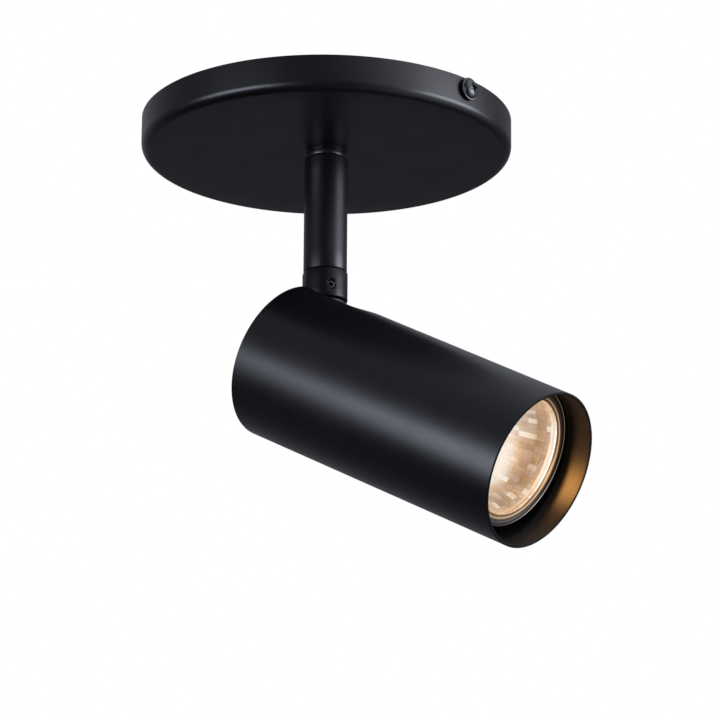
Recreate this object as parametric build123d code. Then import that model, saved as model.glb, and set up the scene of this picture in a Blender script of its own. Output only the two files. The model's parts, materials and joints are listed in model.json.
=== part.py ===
from build123d import *
import math
import os

# Surface mounted ceiling spotlight, in millimetres.
# The origin is the centre of the canopy's rim, on the ceiling. +Z points up into the ceiling, and
# +X is the way the lamp tube points, seen from above, as the light is set at rest.
# A pressed canopy hides a strap, an upright stem hangs from it, and a keyed socket at the stem's foot
# carries an arm that turns about Z. The arm reaches through a slot into the tube and ends on a
# cross bolt on the tube's own axis, about which the tube tilts.

os.makedirs("parts", exist_ok=True)

# ---- Clearances
thread_clearance = 0.05        # radial, a screw in its own threaded hole
slip_clearance = 0.05          # radial, a piece pressed or slid into its seat
running_clearance = 0.08       # radial, a shaft that turns in its bore
body_gap = 0.3                 # between two pieces that move past each other
washer_gap = 0.1               # flat faces that turn on each other

# ---- Canopy and strap
canopy_radius = 65.0
canopy_height = 12.4
canopy_wall = 1.2
canopy_edge_radius = 3.0
strap_thickness = 1.5
strap_width = 24.0
strap_ear_width = 12.0
strap_ear_gap = 0.5            # from the ear's face to the canopy's inner wall, on the screw's line
strap_shoulder = 11.0          # from the wide part's end to the ear
strap_cable_radius = 7.0
strap_hole_radius = 2.6
strap_hole_spacing = 60.0
strap_slot_length = 14.0
strap_hole_web = 2.4           # metal left between a hole and its slot
side_screw_angle = -9.9
side_screw_drop = 4.1
side_screw_radius = 1.95
side_screw_flange_radius = 4.0
side_screw_head_radius = 3.4
side_screw_head_height = 2.2
side_screw_flange = 0.5        # thickness of the flange under the head
side_screw_standoff = 0.9      # flange to the canopy's wall, as the screws are not run home
side_screw_hole_radius = 2.2
earth_screw_radius = 1.95
earth_screw_head_radius = 3.5
earth_screw_head_height = 2.2
earth_screw_place = 17.5

# ---- Terminal block
block_pitch = 8.0
block_poles = 3
block_depth = 15.0
block_top_air = 1.2            # from the block down to the canopy's face
block_offset = 1.5             # from the strap's edge to the block
clamp_size = 4.6
clamp_bore_radius = 1.5
clamp_screw_radius = 1.1
clamp_screw_spacing = 7.0
tab_width = 14.0
block_screw_radius = 1.2

# ---- Stem and its fixing
stem_radius = 7.6
stem_length = 42.4
stem_bore_radius = 5.6
stem_top_chamfer = 0.8
stem_foot_chamfer = 0.4
stem_washer_thickness = 1.4
stem_washer_radius = 6.7
nipple_radius = 5.0
nipple_bore_radius = 3.6
nipple_reach = 10.5            # into the stem
nipple_spare = 1.2             # above the nut
toothed_washer_thickness = 0.8
toothed_washer_radius = 9.0
washer_teeth = 12
lock_nut_height = 3.0
lock_nut_flats = 15.0

# ---- Keyed socket at the stem's foot
key_angle = -41.3              # the way the grub screw faces, about Z
tongue_thickness = 5.3
tongue_spigot_length = 8.0
socket_radius = 7.9
socket_height = 10.7
socket_floor = 1.5
socket_chamfer = 0.4
grub_drop = 6.35               # below the stem's foot
grub_radius = 1.5
grub_recess = 0.6
grub_key_flats = 1.5
wire_bore_radius = 2.1

# ---- Swivel between socket and arm
spigot_radius = 5.0
spigot_length = 10.5
groove_radius = 4.2
groove_width = 2.4
groove_drop = 5.6              # below the socket
set_screw_radius = 2.0
set_screw_tip_radius = 0.9
set_screw_recess = 0.4

# ---- Arm
arm_radius = 7.6
arm_chamfer = 0.4
arm_blade_thickness = 8.0
arm_blade_length = 11.3        # pivot to the round part
bush_radius = 3.2
bush_bore_radius = 2.1
bush_flange_radius = 4.2
bush_flange = 0.9
bush_drop = 0.4                # below the spigot's bore

# ---- Tilt pivot
pivot_bolt_radius = 2.45
pivot_bolt_flats = 8.0
pivot_bolt_head = 3.5
pivot_nut_height = 4.6
friction_washer_thickness = 1.0
friction_washer_radius = 6.0
spring_washer_thickness = 0.9
spring_washer_radius = 5.4
bracket_thickness = 1.5
bracket_width = 12.0
rivet_radius = 1.5
rivet_head_radius = 2.5
rivet_head_height = 0.9
rivet_spacing = 6.6

# ---- Lamp, a standard size, and its holder
lamp_radius = 24.75
lamp_length = 46.9             # rim to the underside of the base
lamp_rim_height = 3.0
lamp_rim_wall = 2.0            # round the front glass
lamp_rim_step = 0.6            # from the bowl's back out to the rim
lamp_glass_thickness = 1.6
lamp_glass_recess = 0.1
lamp_glass_wall = 1.3
lamp_neck_radius = 9.5
lamp_neck_length = 7.5
lamp_base_radius = 12.7
lamp_base_height = 15.9
capsule_radius = 4.6
capsule_length = 20.0
capsule_wall = 0.8
filament_radius = 0.7
filament_length = 6.0
support_radius = 0.35
pin_pitch = 10.0
pin_radius = 1.5
pin_head_radius = 2.5
pin_head_height = 2.0
pin_length = 6.6
lamp_twist = 25.0              # quarter-turn style lock: how far the lamp turns to come out
holder_length = 21.3
holder_radius = 13.5
holder_recess_radius = 8.6
holder_recess_depth = 2.2
holder_screw_radius = 1.45
holder_screw_head_radius = 2.4
holder_screw_place = 10.6
holder_screw_sink = 2.6
contact_thickness = 0.6

# ---- Tube
tube_dip = 28.17               # the axis below the horizontal, at rest
tube_wall = 1.0
lamp_side_clearance = 1.75     # from the lamp's rim to the tube's wall, when centred
lamp_wall_gap = 0.35           # what is left of it above the lamp
tube_rear_reach = 18.3         # pivot to the rear end
bulkhead_reach = 18.2          # pivot to the face that the holder stands on
lamp_recess = 10.3             # the lamp's rim behind the tube's mouth
tube_edge = 0.25
slot_side_air = 0.4            # beside the socket
slot_front_air = 3.5           # ahead of the socket, with the tube level
cap_thickness = 1.2
cap_rim_length = 6.0
bulkhead_thickness = 1.2
bulkhead_rim_length = 5.0
bulkhead_wire_hole_radius = 3.0
bulkhead_wire_hole_place = 17.0

# ---- Levels along Z
canopy_face = -canopy_height
stem_top = canopy_face - stem_washer_thickness
stem_foot = stem_top - stem_length
socket_foot = stem_foot - socket_height
arm_top = socket_foot - body_gap

# ---- Sizes that follow
tube_bore_radius = lamp_radius + lamp_side_clearance
tube_radius = tube_bore_radius + tube_wall
lamp_glass_radius = lamp_radius - lamp_rim_wall - slip_clearance
lamp_lift = lamp_side_clearance - lamp_wall_gap
strap_slot_place = strap_hole_spacing / 2 + strap_hole_radius + strap_hole_web + strap_slot_length / 2
slot_half_width = socket_radius + slot_side_air
slot_centre = socket_radius + slot_front_air - slot_half_width
pivot_z = socket_foot - tube_radius
holder_front = bulkhead_reach + holder_length
lamp_back = holder_front + body_gap
lamp_front = lamp_back + lamp_length
tube_front = lamp_front + lamp_recess
tube_length = tube_rear_reach + tube_front
bracket_inner = arm_blade_thickness / 2 + washer_gap + friction_washer_thickness + spring_washer_thickness
bracket_outer = bracket_inner + bracket_thickness
spigot_foot = socket_foot - spigot_length
groove_z = socket_foot - groove_drop
arm_bore_foot = spigot_foot - body_gap
bush_z = arm_bore_foot - bush_drop - bush_radius


# ---- Shapes that repeat
def ring(outer_radius, inner_radius, low, high):
    """A ring or sleeve about Z."""
    height = high - low
    middle = Location((0, 0, (low + high) / 2))
    return middle * (Cylinder(outer_radius, height) - Cylinder(inner_radius, height))


def rod(radius, low, high):
    """A round bar about Z."""
    return Location((0, 0, (low + high) / 2)) * Cylinder(radius, high - low)


def block(size_x, size_y, low, high, x=0.0, y=0.0):
    """A square-cornered block about a point of the plane."""
    return Location((x, y, (low + high) / 2)) * Box(size_x, size_y, high - low)


def edges_at(shape, z, radius=None):
    """The round edges of a solid at one level, and of one radius where that is given."""
    level = [e for e in shape.edges().filter_by(GeomType.CIRCLE) if abs(e.center().Z - z) < 1e-4]
    return [e for e in level if radius is None or abs(e.radius - radius) < 1e-4]


def hexagon(across_flats, low, high):
    """A six-sided bar about Z."""
    side = RegularPolygon(across_flats / 2, 6, major_radius=False)
    return extrude(Location((0, 0, low)) * side, high - low)


def pan_screw(head_radius, head_height, thread_radius, length, tip_chamfer=0.3):
    """A cross-head screw with a domed head above z = 0 and its thread below."""
    head = rod(head_radius, 0, head_height)
    head = fillet(edges_at(head, head_height), head_height * 0.6)
    thread = rod(thread_radius, -length, 0)
    thread = chamfer(edges_at(thread, -length), tip_chamfer)
    wing = head_radius * 1.05
    thickness = head_radius * 0.22
    depth = head_height * 0.6
    cross = block(wing, thickness, head_height - depth, head_height)
    cross += block(thickness, wing, head_height - depth, head_height)
    return head + thread - cross


def facing(angle, z=0.0, radius=0.0):
    """A place on a circle about Z, whose own +Z points outwards and whose own +X points down."""
    return Location((0, 0, z), (0, 0, angle)) * Location((radius, 0, 0), (0, 90, 0))


def in_head(shape):
    """Tube pieces are drawn with the pivot at the origin, +Z towards the lamp and -X upwards."""
    return Location((0, 0, pivot_z), (0, 90 + tube_dip, 0)) * shape


def on_lamp_axis(shape):
    """Lamp and holder sit a little above the tube's axis."""
    return in_head(Location((-lamp_lift, 0, 0)) * shape)


def arc_slot(radius, half_width, start, end, low, high):
    """A curved slot about Z with round ends, from one angle to the other."""
    sweep_start, sweep_end = min(start, end), max(start, end)
    reach = 4 * (radius + half_width)
    middle = math.radians((sweep_start + sweep_end) / 2)
    corners = [
        (0, 0),
        (reach * math.cos(math.radians(sweep_start)), reach * math.sin(math.radians(sweep_start))),
        (reach * math.cos(middle), reach * math.sin(middle)),
        (reach * math.cos(math.radians(sweep_end)), reach * math.sin(math.radians(sweep_end))),
    ]
    wedge = extrude(Location((0, 0, low)) * make_face(Polyline(*corners, close=True)), high - low)
    slot = ring(radius + half_width, radius - half_width, low, high) & wedge
    for angle in (start, end):
        turn = math.radians(angle)
        slot += Location((radius * math.cos(turn), radius * math.sin(turn), 0)) * rod(half_width, low, high)
    return slot


# ---- Canopy
def make_canopy_cover():
    """A pressed cup with its mouth on the ceiling."""
    shell = rod(canopy_radius, canopy_face, 0)
    shell = fillet(edges_at(shell, canopy_face), canopy_edge_radius)
    hollow = rod(canopy_radius - canopy_wall, canopy_face + canopy_wall, 0)
    inner_edge = max(canopy_edge_radius - canopy_wall, canopy_wall / 4)
    hollow = fillet(edges_at(hollow, canopy_face + canopy_wall), inner_edge)
    shell -= hollow
    shell -= rod(nipple_radius + thread_clearance * 3, canopy_face - 1, 0)
    for side in (0, 180):
        hole = rod(side_screw_hole_radius, -2 * canopy_wall, canopy_wall)
        shell -= facing(side_screw_angle + side, -side_screw_drop, canopy_radius) * hole
    return shell


ear_face = canopy_radius - canopy_wall - strap_ear_gap


def make_mounting_strap():
    """A strap against the ceiling, with an ear bent down at each end for the canopy's screws."""
    wide_end = ear_face - strap_shoulder
    strap = block(2 * ear_face, strap_ear_width, -strap_thickness, 0)
    strap += block(2 * wide_end, strap_width, -strap_thickness, 0)
    tab_end = strap_width / 2 + block_offset + block_depth
    strap += block(tab_width, tab_end, -strap_thickness, 0, y=tab_end / 2)
    ear_foot = -side_screw_drop - strap_ear_width / 3
    for side in (-1, 1):
        x = side * (ear_face - strap_thickness / 2)
        strap += block(strap_thickness, strap_ear_width, ear_foot, 0, x=x)
    strap -= rod(strap_cable_radius, -strap_thickness, 0)
    for side in (-1, 1):
        hole = rod(strap_hole_radius, -strap_thickness, 0)
        strap -= Location((side * strap_hole_spacing / 2, 0, 0)) * hole
        slot = extrude(SlotOverall(strap_slot_length, 2 * strap_hole_radius), -strap_thickness)
        strap -= Location((side * strap_slot_place, 0, 0)) * slot
        thread = rod(side_screw_radius + thread_clearance, -2 * strap_thickness, strap_thickness)
        strap -= facing(90 - 90 * side, -side_screw_drop, ear_face) * thread
    earth_hole = rod(earth_screw_radius + thread_clearance, -strap_thickness, 0)
    strap -= Location((-earth_screw_place, 0, 0)) * earth_hole
    block_hole = rod(block_screw_radius + thread_clearance, -strap_thickness, 0)
    strap -= Location((block_pitch / 2, block_middle_y, 0)) * block_hole
    return Rot(0, 0, side_screw_angle) * strap


def make_canopy_screws():
    """Two flanged screws through the canopy's wall into the strap's ears."""
    length = side_screw_standoff + canopy_wall + strap_ear_gap + 2 * strap_thickness
    screw = pan_screw(side_screw_head_radius, side_screw_head_height, side_screw_radius, length)
    screw += rod(side_screw_flange_radius, 0, side_screw_flange)
    seat = canopy_radius + side_screw_standoff
    return [facing(side_screw_angle + side, -side_screw_drop, seat) * screw for side in (0, 180)]


def make_earth_screw():
    """The earth screw, from below into the strap."""
    screw = pan_screw(earth_screw_head_radius, earth_screw_head_height, earth_screw_radius,
                      strap_thickness * 0.9, strap_thickness * 0.1)
    place = Location((-earth_screw_place, 0, -strap_thickness), (180, 0, 0))
    return Rot(0, 0, side_screw_angle) * place * screw


# ---- Terminal block
block_top = -strap_thickness
block_foot = canopy_face + canopy_wall + block_top_air
block_middle_y = strap_width / 2 + block_offset + block_depth / 2
pole_z = (block_top + block_foot) / 2


def at_block(x=0.0, y=0.0, z=0.0):
    """A place from the middle of the terminal block, in the strap's own directions."""
    return Location((0, 0, 0), (0, 0, side_screw_angle)) * Location((x, block_middle_y + y, z))


def pole_places():
    """The middle of each pole, along the block."""
    first = -(block_poles - 1) * block_pitch / 2
    return [first + i * block_pitch for i in range(block_poles)]


def make_terminal_block():
    """The moulded block, with a well for each pole and a groove between poles."""
    body = block(block_poles * block_pitch, block_depth, block_foot, block_top)
    for x in pole_places():
        well = clamp_size + 2 * slip_clearance
        body -= Location((x, 0, pole_z)) * Box(well, block_depth, well)
        for side in (-1, 1):
            shaft = rod(clamp_screw_radius + 2 * slip_clearance, block_foot, pole_z)
            body -= Location((x, side * clamp_screw_spacing / 2, 0)) * shaft
    for i in range(1, block_poles):
        x = pole_places()[i] - block_pitch / 2
        body -= block(0.8, block_depth, block_foot, block_foot + 1.0, x=x)
    body -= Location((block_pitch / 2, 0, 0)) * rod(block_screw_radius + slip_clearance, block_foot, block_top)
    return at_block() * body


def make_terminal_clamps():
    """Three brass clamps, each with a bore for the wires and two screw holes."""
    clamps = []
    for x in pole_places():
        clamp = Box(clamp_size, block_depth - 2, clamp_size)
        clamp -= Rot(90, 0, 0) * Cylinder(clamp_bore_radius, block_depth)
        for side in (-1, 1):
            hole = rod(clamp_screw_radius + thread_clearance, -clamp_size / 2, 0)
            clamp -= Location((0, side * clamp_screw_spacing / 2, 0)) * hole
        clamps.append(at_block(x, 0, pole_z) * clamp)
    return clamps


def make_clamp_screws():
    """Two slotted screws in each clamp."""
    screws = []
    low = block_foot + 0.6 - pole_z
    for x in pole_places():
        for side in (-1, 1):
            screw = rod(clamp_screw_radius, low, -clamp_bore_radius / 2)
            screw -= block(2 * clamp_screw_radius, 0.4, low, low + 0.5)
            screws.append(at_block(x, side * clamp_screw_spacing / 2, pole_z) * screw)
    return screws


def make_block_screw():
    """The screw that holds the block to the strap's tab."""
    head_height = block_top_air * 0.6
    length = block_top - block_foot + strap_thickness * 0.9
    screw = pan_screw(2 * block_screw_radius, head_height, block_screw_radius, length, strap_thickness * 0.1)
    return at_block(block_pitch / 2, 0, block_foot) * Rot(180, 0, 0) * screw


# ---- Stem
def make_stem_nipple():
    """A hollow threaded rod from the stem up through the canopy."""
    top = canopy_face + canopy_wall + toothed_washer_thickness + lock_nut_height + nipple_spare
    nipple = ring(nipple_radius, nipple_bore_radius, stem_top - nipple_reach, top)
    return chamfer(edges_at(nipple, top, nipple_radius), 0.4)


def make_toothed_washer():
    """A washer with outer teeth, under the nut."""
    low = canopy_face + canopy_wall
    high = low + toothed_washer_thickness
    washer = ring(toothed_washer_radius, nipple_radius + 3 * slip_clearance, low, high)
    gap = math.pi * toothed_washer_radius / washer_teeth * 0.9
    for i in range(washer_teeth):
        notch = block(toothed_washer_radius * 0.35, gap, low, high, x=toothed_washer_radius)
        washer -= Rot(0, 0, i * 360 / washer_teeth) * notch
    return washer


def make_stem_lock_nut():
    """A thin hexagon nut on the nipple."""
    low = canopy_face + canopy_wall + toothed_washer_thickness
    high = low + lock_nut_height
    return hexagon(lock_nut_flats, low, high) - rod(nipple_radius + thread_clearance, low, high)


def make_stem_washer():
    """The narrow washer that shows between canopy and stem."""
    return ring(stem_washer_radius, nipple_radius + 3 * slip_clearance, stem_top, canopy_face)


def make_stem_tube():
    """The upright stem: a threaded top, a plain bore and a bright turned edge at each end."""
    stem = rod(stem_radius, stem_foot, stem_top)
    stem = chamfer(edges_at(stem, stem_top), stem_top_chamfer)
    stem = chamfer(edges_at(stem, stem_foot), stem_foot_chamfer)
    thread_end = stem_top - nipple_reach - 1.5
    stem -= rod(nipple_radius + thread_clearance, thread_end, stem_top)
    stem -= rod(stem_bore_radius, stem_foot, thread_end)
    return stem


# ---- Keyed socket
tongue_foot = socket_foot + socket_floor + slip_clearance


def make_stem_key():
    """A plug in the stem's foot with a flat tongue, which keys the socket."""
    key = rod(stem_bore_radius - slip_clearance, stem_foot, stem_foot + tongue_spigot_length)
    tongue = rod(stem_radius, tongue_foot, stem_foot)
    tongue &= block(tongue_thickness, 2 * stem_radius, tongue_foot, stem_foot)
    key += tongue
    key -= rod(wire_bore_radius, tongue_foot, stem_foot + tongue_spigot_length)
    return Rot(0, 0, key_angle) * key


def make_knuckle_socket():
    """Two ears about the tongue, a floor, and the spigot on which the arm turns."""
    top = stem_foot - washer_gap
    socket = rod(socket_radius, socket_foot, top)
    socket = chamfer(edges_at(socket, top), socket_chamfer)
    socket = chamfer(edges_at(socket, socket_foot), socket_chamfer)
    socket -= block(tongue_thickness + 2 * slip_clearance, 2 * socket_radius + 1,
                    socket_foot + socket_floor, top)
    socket += rod(spigot_radius, spigot_foot, socket_foot)
    groove_half = groove_width / 2
    socket -= ring(spigot_radius + 1, groove_radius, groove_z - groove_half, groove_z + groove_half)
    socket -= rod(wire_bore_radius, spigot_foot, top)
    grub_hole = rod(grub_radius + thread_clearance, -socket_radius, 0)
    mouth = Location((0, 0, -0.25)) * Cone(grub_radius, grub_radius + 0.5, 0.5)
    socket -= facing(0, stem_foot - grub_drop, socket_radius) * (grub_hole + mouth)
    return Rot(0, 0, key_angle) * socket


def make_knuckle_grub_screw():
    """The grub screw through one ear, tight on the tongue."""
    length = socket_radius - grub_recess - tongue_thickness / 2
    screw = rod(grub_radius, -length, 0)
    screw -= hexagon(grub_key_flats, -length * 0.4, 0)
    return facing(key_angle, stem_foot - grub_drop, socket_radius - grub_recess) * screw


# ---- Arm
def make_swivel_arm():
    """Round where it shows, bored for the spigot, and a flat blade at the pivot."""
    shoulder = pivot_z + arm_blade_length
    arm = rod(arm_radius, shoulder, arm_top)
    arm = chamfer(edges_at(arm, arm_top), arm_chamfer)
    blade = block(2 * arm_radius, arm_blade_thickness, pivot_z, shoulder)
    blade &= rod(arm_radius, pivot_z, shoulder)
    foot = Location((0, 0, pivot_z)) * Rot(90, 0, 0) * Cylinder(arm_radius, arm_blade_thickness)
    foot &= rod(arm_radius, pivot_z - arm_radius, pivot_z)
    arm += blade + foot
    arm -= rod(spigot_radius + running_clearance, arm_bore_foot, arm_top)
    arm -= rod(wire_bore_radius, bush_z, arm_bore_foot)
    bolt_hole = Rot(90, 0, 0) * Cylinder(pivot_bolt_radius + running_clearance, arm_blade_thickness + 1)
    arm -= Location((0, 0, pivot_z)) * bolt_hole
    arm -= facing(0, bush_z, 0) * rod(bush_radius, 0, arm_radius)
    arm -= facing(180, groove_z, 0) * rod(set_screw_radius + thread_clearance, 0, arm_radius)
    return arm


def make_arm_set_screw():
    """Its narrow tip runs in the spigot's groove and carries the head."""
    tip_end = groove_radius + body_gap
    thread_start = spigot_radius + running_clearance + 0.1
    outer = arm_radius - set_screw_recess
    screw = rod(set_screw_radius, thread_start, outer)
    screw += rod(set_screw_tip_radius, tip_end, thread_start)
    screw -= hexagon(set_screw_radius, outer - set_screw_radius / 2, outer)
    return facing(180, groove_z, 0) * screw


def make_wire_bush():
    """A bush where the wires leave the arm."""
    flange_seat = arm_radius
    bush = ring(bush_radius - slip_clearance, bush_bore_radius, wire_bore_radius + 1, flange_seat)
    bush += ring(bush_flange_radius, bush_bore_radius, flange_seat, flange_seat + bush_flange)
    return facing(0, bush_z, 0) * bush


# ---- Tube and what is fixed in it
def make_housing_tube():
    """The lamp tube, slotted from its rear end for the arm."""
    tube = ring(tube_radius, tube_bore_radius, -tube_rear_reach, tube_front)
    for z in (-tube_rear_reach, tube_front):
        tube = chamfer(edges_at(tube, z, tube_radius), tube_edge)
    return in_head(tube - slot_cutter(tube_radius + 1))


def slot_cutter(height):
    """The slot's outline, cut from the tube's axis upwards."""
    back = -tube_rear_reach - 1
    length = slot_centre - back
    straight = Location((-height / 2, 0, back + length / 2)) * Box(height, 2 * slot_half_width, length)
    end = Location((-height / 2, 0, slot_centre)) * Rot(0, 90, 0) * Cylinder(slot_half_width, height)
    return straight + end


def make_rear_cap():
    """A cup in the tube's rear end, with a notch that carries on from the slot."""
    back = -tube_rear_reach
    radius = tube_bore_radius - slip_clearance
    cap = rod(radius, back, back + cap_rim_length)
    cap -= rod(radius - cap_thickness, back + cap_thickness, back + cap_rim_length)
    notch = block(tube_radius, 2 * slot_half_width, back, back + cap_rim_length, x=-tube_radius / 2)
    notch += rod(slot_half_width, back, back + cap_rim_length)
    return in_head(cap - notch)


def make_bulkhead():
    """The plate across the tube that carries the bracket and the lamp holder."""
    radius = tube_bore_radius - slip_clearance
    back = bulkhead_reach - bulkhead_thickness
    plate = rod(radius, back, back + bulkhead_rim_length)
    plate -= rod(radius - bulkhead_thickness, bulkhead_reach, back + bulkhead_rim_length)
    for side in (-1, 1):
        rivet_hole = rod(rivet_radius + slip_clearance, back, bulkhead_reach)
        plate -= Location((0, side * rivet_spacing / 2, 0)) * rivet_hole
        screw_hole = rod(holder_screw_radius + thread_clearance, back, bulkhead_reach)
        plate -= Location((-lamp_lift + side * holder_screw_place, 0, 0)) * screw_hole
    wire_hole = rod(bulkhead_wire_hole_radius, back, bulkhead_reach)
    plate -= Location((0, bulkhead_wire_hole_place, 0)) * wire_hole
    return in_head(plate)


bracket_seat = bulkhead_reach - bulkhead_thickness


def cross_rod(radius, start, end):
    """A round bar about the tilt axis, from one side to the other."""
    return Location((0, (start + end) / 2, 0)) * Rot(90, 0, 0) * Cylinder(radius, end - start)


def make_pivot_bracket():
    """A strip bent to a U, its base on the bulkhead and its two lugs beside the arm's blade."""
    bracket = block(bracket_width, 2 * bracket_outer, bracket_seat - bracket_thickness, bracket_seat)
    for side in (-1, 1):
        y = side * (bracket_inner + bracket_outer) / 2
        bracket += block(bracket_width, bracket_thickness, 0, bracket_seat, y=y)
        bracket += cross_rod(bracket_width / 2, y - bracket_thickness / 2, y + bracket_thickness / 2)
        rivet_hole = rod(rivet_radius + slip_clearance, bracket_seat - bracket_thickness, bracket_seat)
        bracket -= Location((0, side * rivet_spacing / 2, 0)) * rivet_hole
    bracket -= cross_rod(pivot_bolt_radius + slip_clearance, -bracket_outer, bracket_outer)
    return in_head(bracket)


def make_bracket_rivets():
    """Two rivets through bracket and bulkhead."""
    back = bracket_seat - bracket_thickness
    rivet = rod(rivet_radius, back, bulkhead_reach)
    rivet += rod(rivet_head_radius, back - rivet_head_height, back)
    rivet += rod(rivet_head_radius, bulkhead_reach, bulkhead_reach + rivet_head_height)
    return [in_head(Location((0, side * rivet_spacing / 2, 0)) * rivet) for side in (-1, 1)]


def make_pivot_bolt():
    """The hexagon bolt on the tube's axis, about which the tube tilts."""
    end = bracket_outer + pivot_nut_height + 1
    bolt = cross_rod(pivot_bolt_radius, -bracket_outer, end)
    head = hexagon(pivot_bolt_flats, 0, pivot_bolt_head)
    bolt += Location((0, -bracket_outer, 0), (90, 0, 0)) * head
    return in_head(bolt)


def make_pivot_nut():
    """The lock nut that sets how stiffly the tube tilts."""
    nut = hexagon(pivot_bolt_flats, 0, pivot_nut_height)
    nut -= rod(pivot_bolt_radius + thread_clearance, 0, pivot_nut_height)
    return in_head(Location((0, bracket_outer, 0), (-90, 0, 0)) * nut)


def make_friction_washers():
    """A fibre washer each side of the arm's blade."""
    start = arm_blade_thickness / 2 + washer_gap
    end = start + friction_washer_thickness
    bore = pivot_bolt_radius + 2 * slip_clearance
    return [in_head(cross_rod(friction_washer_radius, *span) - cross_rod(bore, *span))
            for span in ((start, end), (-end, -start))]


def make_spring_washers():
    """A dished spring washer behind each fibre washer."""
    start = arm_blade_thickness / 2 + washer_gap + friction_washer_thickness
    dish = spring_washer_thickness / 2
    bore = pivot_bolt_radius + 2 * slip_clearance
    section = Polyline((bore, 0), (spring_washer_radius, dish), (spring_washer_radius, 2 * dish),
                       (bore, dish), close=True)
    washer = revolve(make_face(section).rotate(Axis.X, 90), Axis.Z)
    return [in_head(Location((0, side * start, 0), (-90 * side, 0, 0)) * washer) for side in (1, -1)]


# ---- Lamp holder
pin_seat = lamp_back - pin_length           # the far end of the lamp's pins
well_floor = pin_seat - body_gap - contact_thickness


def make_lamp_holder():
    """The ceramic holder: two curved keyways in front, a well behind each, screws through it."""
    holder = rod(holder_radius, bulkhead_reach, holder_front)
    holder = chamfer(edges_at(holder, holder_front), 0.8)
    holder -= rod(holder_recess_radius, bulkhead_reach, bulkhead_reach + holder_recess_depth)
    well_front = pin_seat + pin_head_height + body_gap
    for side in (0, 180):
        start, end = 90 + side, 90 + side - lamp_twist
        holder -= arc_slot(pin_pitch / 2, pin_head_radius + body_gap, start, end, well_floor, well_front)
        holder -= arc_slot(pin_pitch / 2, pin_radius + body_gap, start, end, well_front, holder_front)
        entry = rod(pin_head_radius + body_gap, well_front, holder_front)
        turn = math.radians(end)
        holder -= Location((pin_pitch / 2 * math.cos(turn), pin_pitch / 2 * math.sin(turn), 0)) * entry
    for side in (-1, 1):
        place = Location((side * holder_screw_place, 0, 0))
        holder -= place * rod(holder_screw_radius + slip_clearance, bulkhead_reach, holder_front)
        sink = rod(holder_screw_head_radius + 2 * slip_clearance, holder_front - holder_screw_sink, holder_front)
        holder -= place * sink
    return on_lamp_axis(holder)


def make_holder_screws():
    """Two screws from the front of the holder into the bulkhead."""
    seat = holder_front - holder_screw_sink
    length = seat - bulkhead_reach + 2 * bulkhead_thickness
    screw = pan_screw(holder_screw_head_radius, 1.8, holder_screw_radius, length)
    return [on_lamp_axis(Location((side * holder_screw_place, 0, seat)) * screw) for side in (-1, 1)]


def make_holder_contacts():
    """A spring contact at the bottom of each well."""
    contacts = []
    width = pin_head_radius * 0.9
    for side in (0, 180):
        strip = arc_slot(pin_pitch / 2, width, 90 + side, 90 + side - lamp_twist,
                         well_floor, well_floor + contact_thickness)
        contacts.append(on_lamp_axis(strip))
    return contacts


# ---- Lamp
neck_front = lamp_back + lamp_base_height
bowl_back = neck_front + 0.5
rim_back = lamp_front - lamp_rim_height
bowl_depth = rim_back - bowl_back


def bowl_curve(radius_back, radius_front, back, front):
    """A bowl's curve in the XZ plane, bulging away from the axis."""
    bulge_radius = radius_back + (radius_front - radius_back) * 0.68
    bulge_z = back + (front - back) * 0.46
    return ThreePointArc((radius_back, 0, back), (bulge_radius, 0, bulge_z), (radius_front, 0, front))


def make_lamp_reflector():
    """The glass bowl: a neck, a curved wall and a square rim with a seat for the front glass."""
    neck_back = neck_front - lamp_neck_length
    throat = capsule_radius + 0.5
    rim_inner = lamp_radius - lamp_rim_wall
    bowl_front = lamp_radius - lamp_rim_step
    seat = lamp_front - lamp_glass_recess - lamp_glass_thickness
    wall_front = lamp_glass_radius - lamp_glass_wall
    wall_back = lamp_neck_radius - lamp_glass_wall
    outside = [
        Line((throat, 0, neck_back), (lamp_neck_radius, 0, neck_back)),
        Line((lamp_neck_radius, 0, neck_back), (lamp_neck_radius, 0, bowl_back)),
        bowl_curve(lamp_neck_radius, bowl_front, bowl_back, rim_back),
        Line((bowl_front, 0, rim_back), (lamp_radius, 0, rim_back)),
        Line((lamp_radius, 0, rim_back), (lamp_radius, 0, lamp_front)),
        Line((lamp_radius, 0, lamp_front), (rim_inner, 0, lamp_front)),
        Line((rim_inner, 0, lamp_front), (rim_inner, 0, seat)),
        Line((rim_inner, 0, seat), (wall_front, 0, seat)),
    ]
    floor = bowl_back + lamp_glass_wall
    inside = [
        bowl_curve(wall_back, wall_front, floor, seat),
        Line((wall_back, 0, floor), (throat, 0, floor)),
        Line((throat, 0, floor), (throat, 0, neck_back)),
    ]
    return on_lamp_axis(revolve(make_face(Wire(outside + inside)), Axis.Z))


def make_lamp_front_glass():
    """The flat glass in front of the bowl."""
    front = lamp_front - lamp_glass_recess
    return on_lamp_axis(rod(lamp_glass_radius, front - lamp_glass_thickness, front))


def make_lamp_base():
    """The ceramic base round the bowl's neck."""
    base = rod(lamp_base_radius, lamp_back, neck_front)
    base = chamfer(edges_at(base, lamp_back), 0.8)
    base = chamfer(edges_at(base, neck_front), 1.2)
    neck_back = neck_front - lamp_neck_length - slip_clearance
    base -= rod(lamp_neck_radius + slip_clearance, neck_back, neck_front)
    return on_lamp_axis(base)


def make_lamp_pins():
    """Two headed pins that hold the lamp in its keyways."""
    pin = rod(pin_radius, pin_seat, lamp_back)
    pin += rod(pin_head_radius, pin_seat, pin_seat + pin_head_height)
    return [on_lamp_axis(Location((0, side * pin_pitch / 2, 0)) * pin) for side in (-1, 1)]


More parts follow.
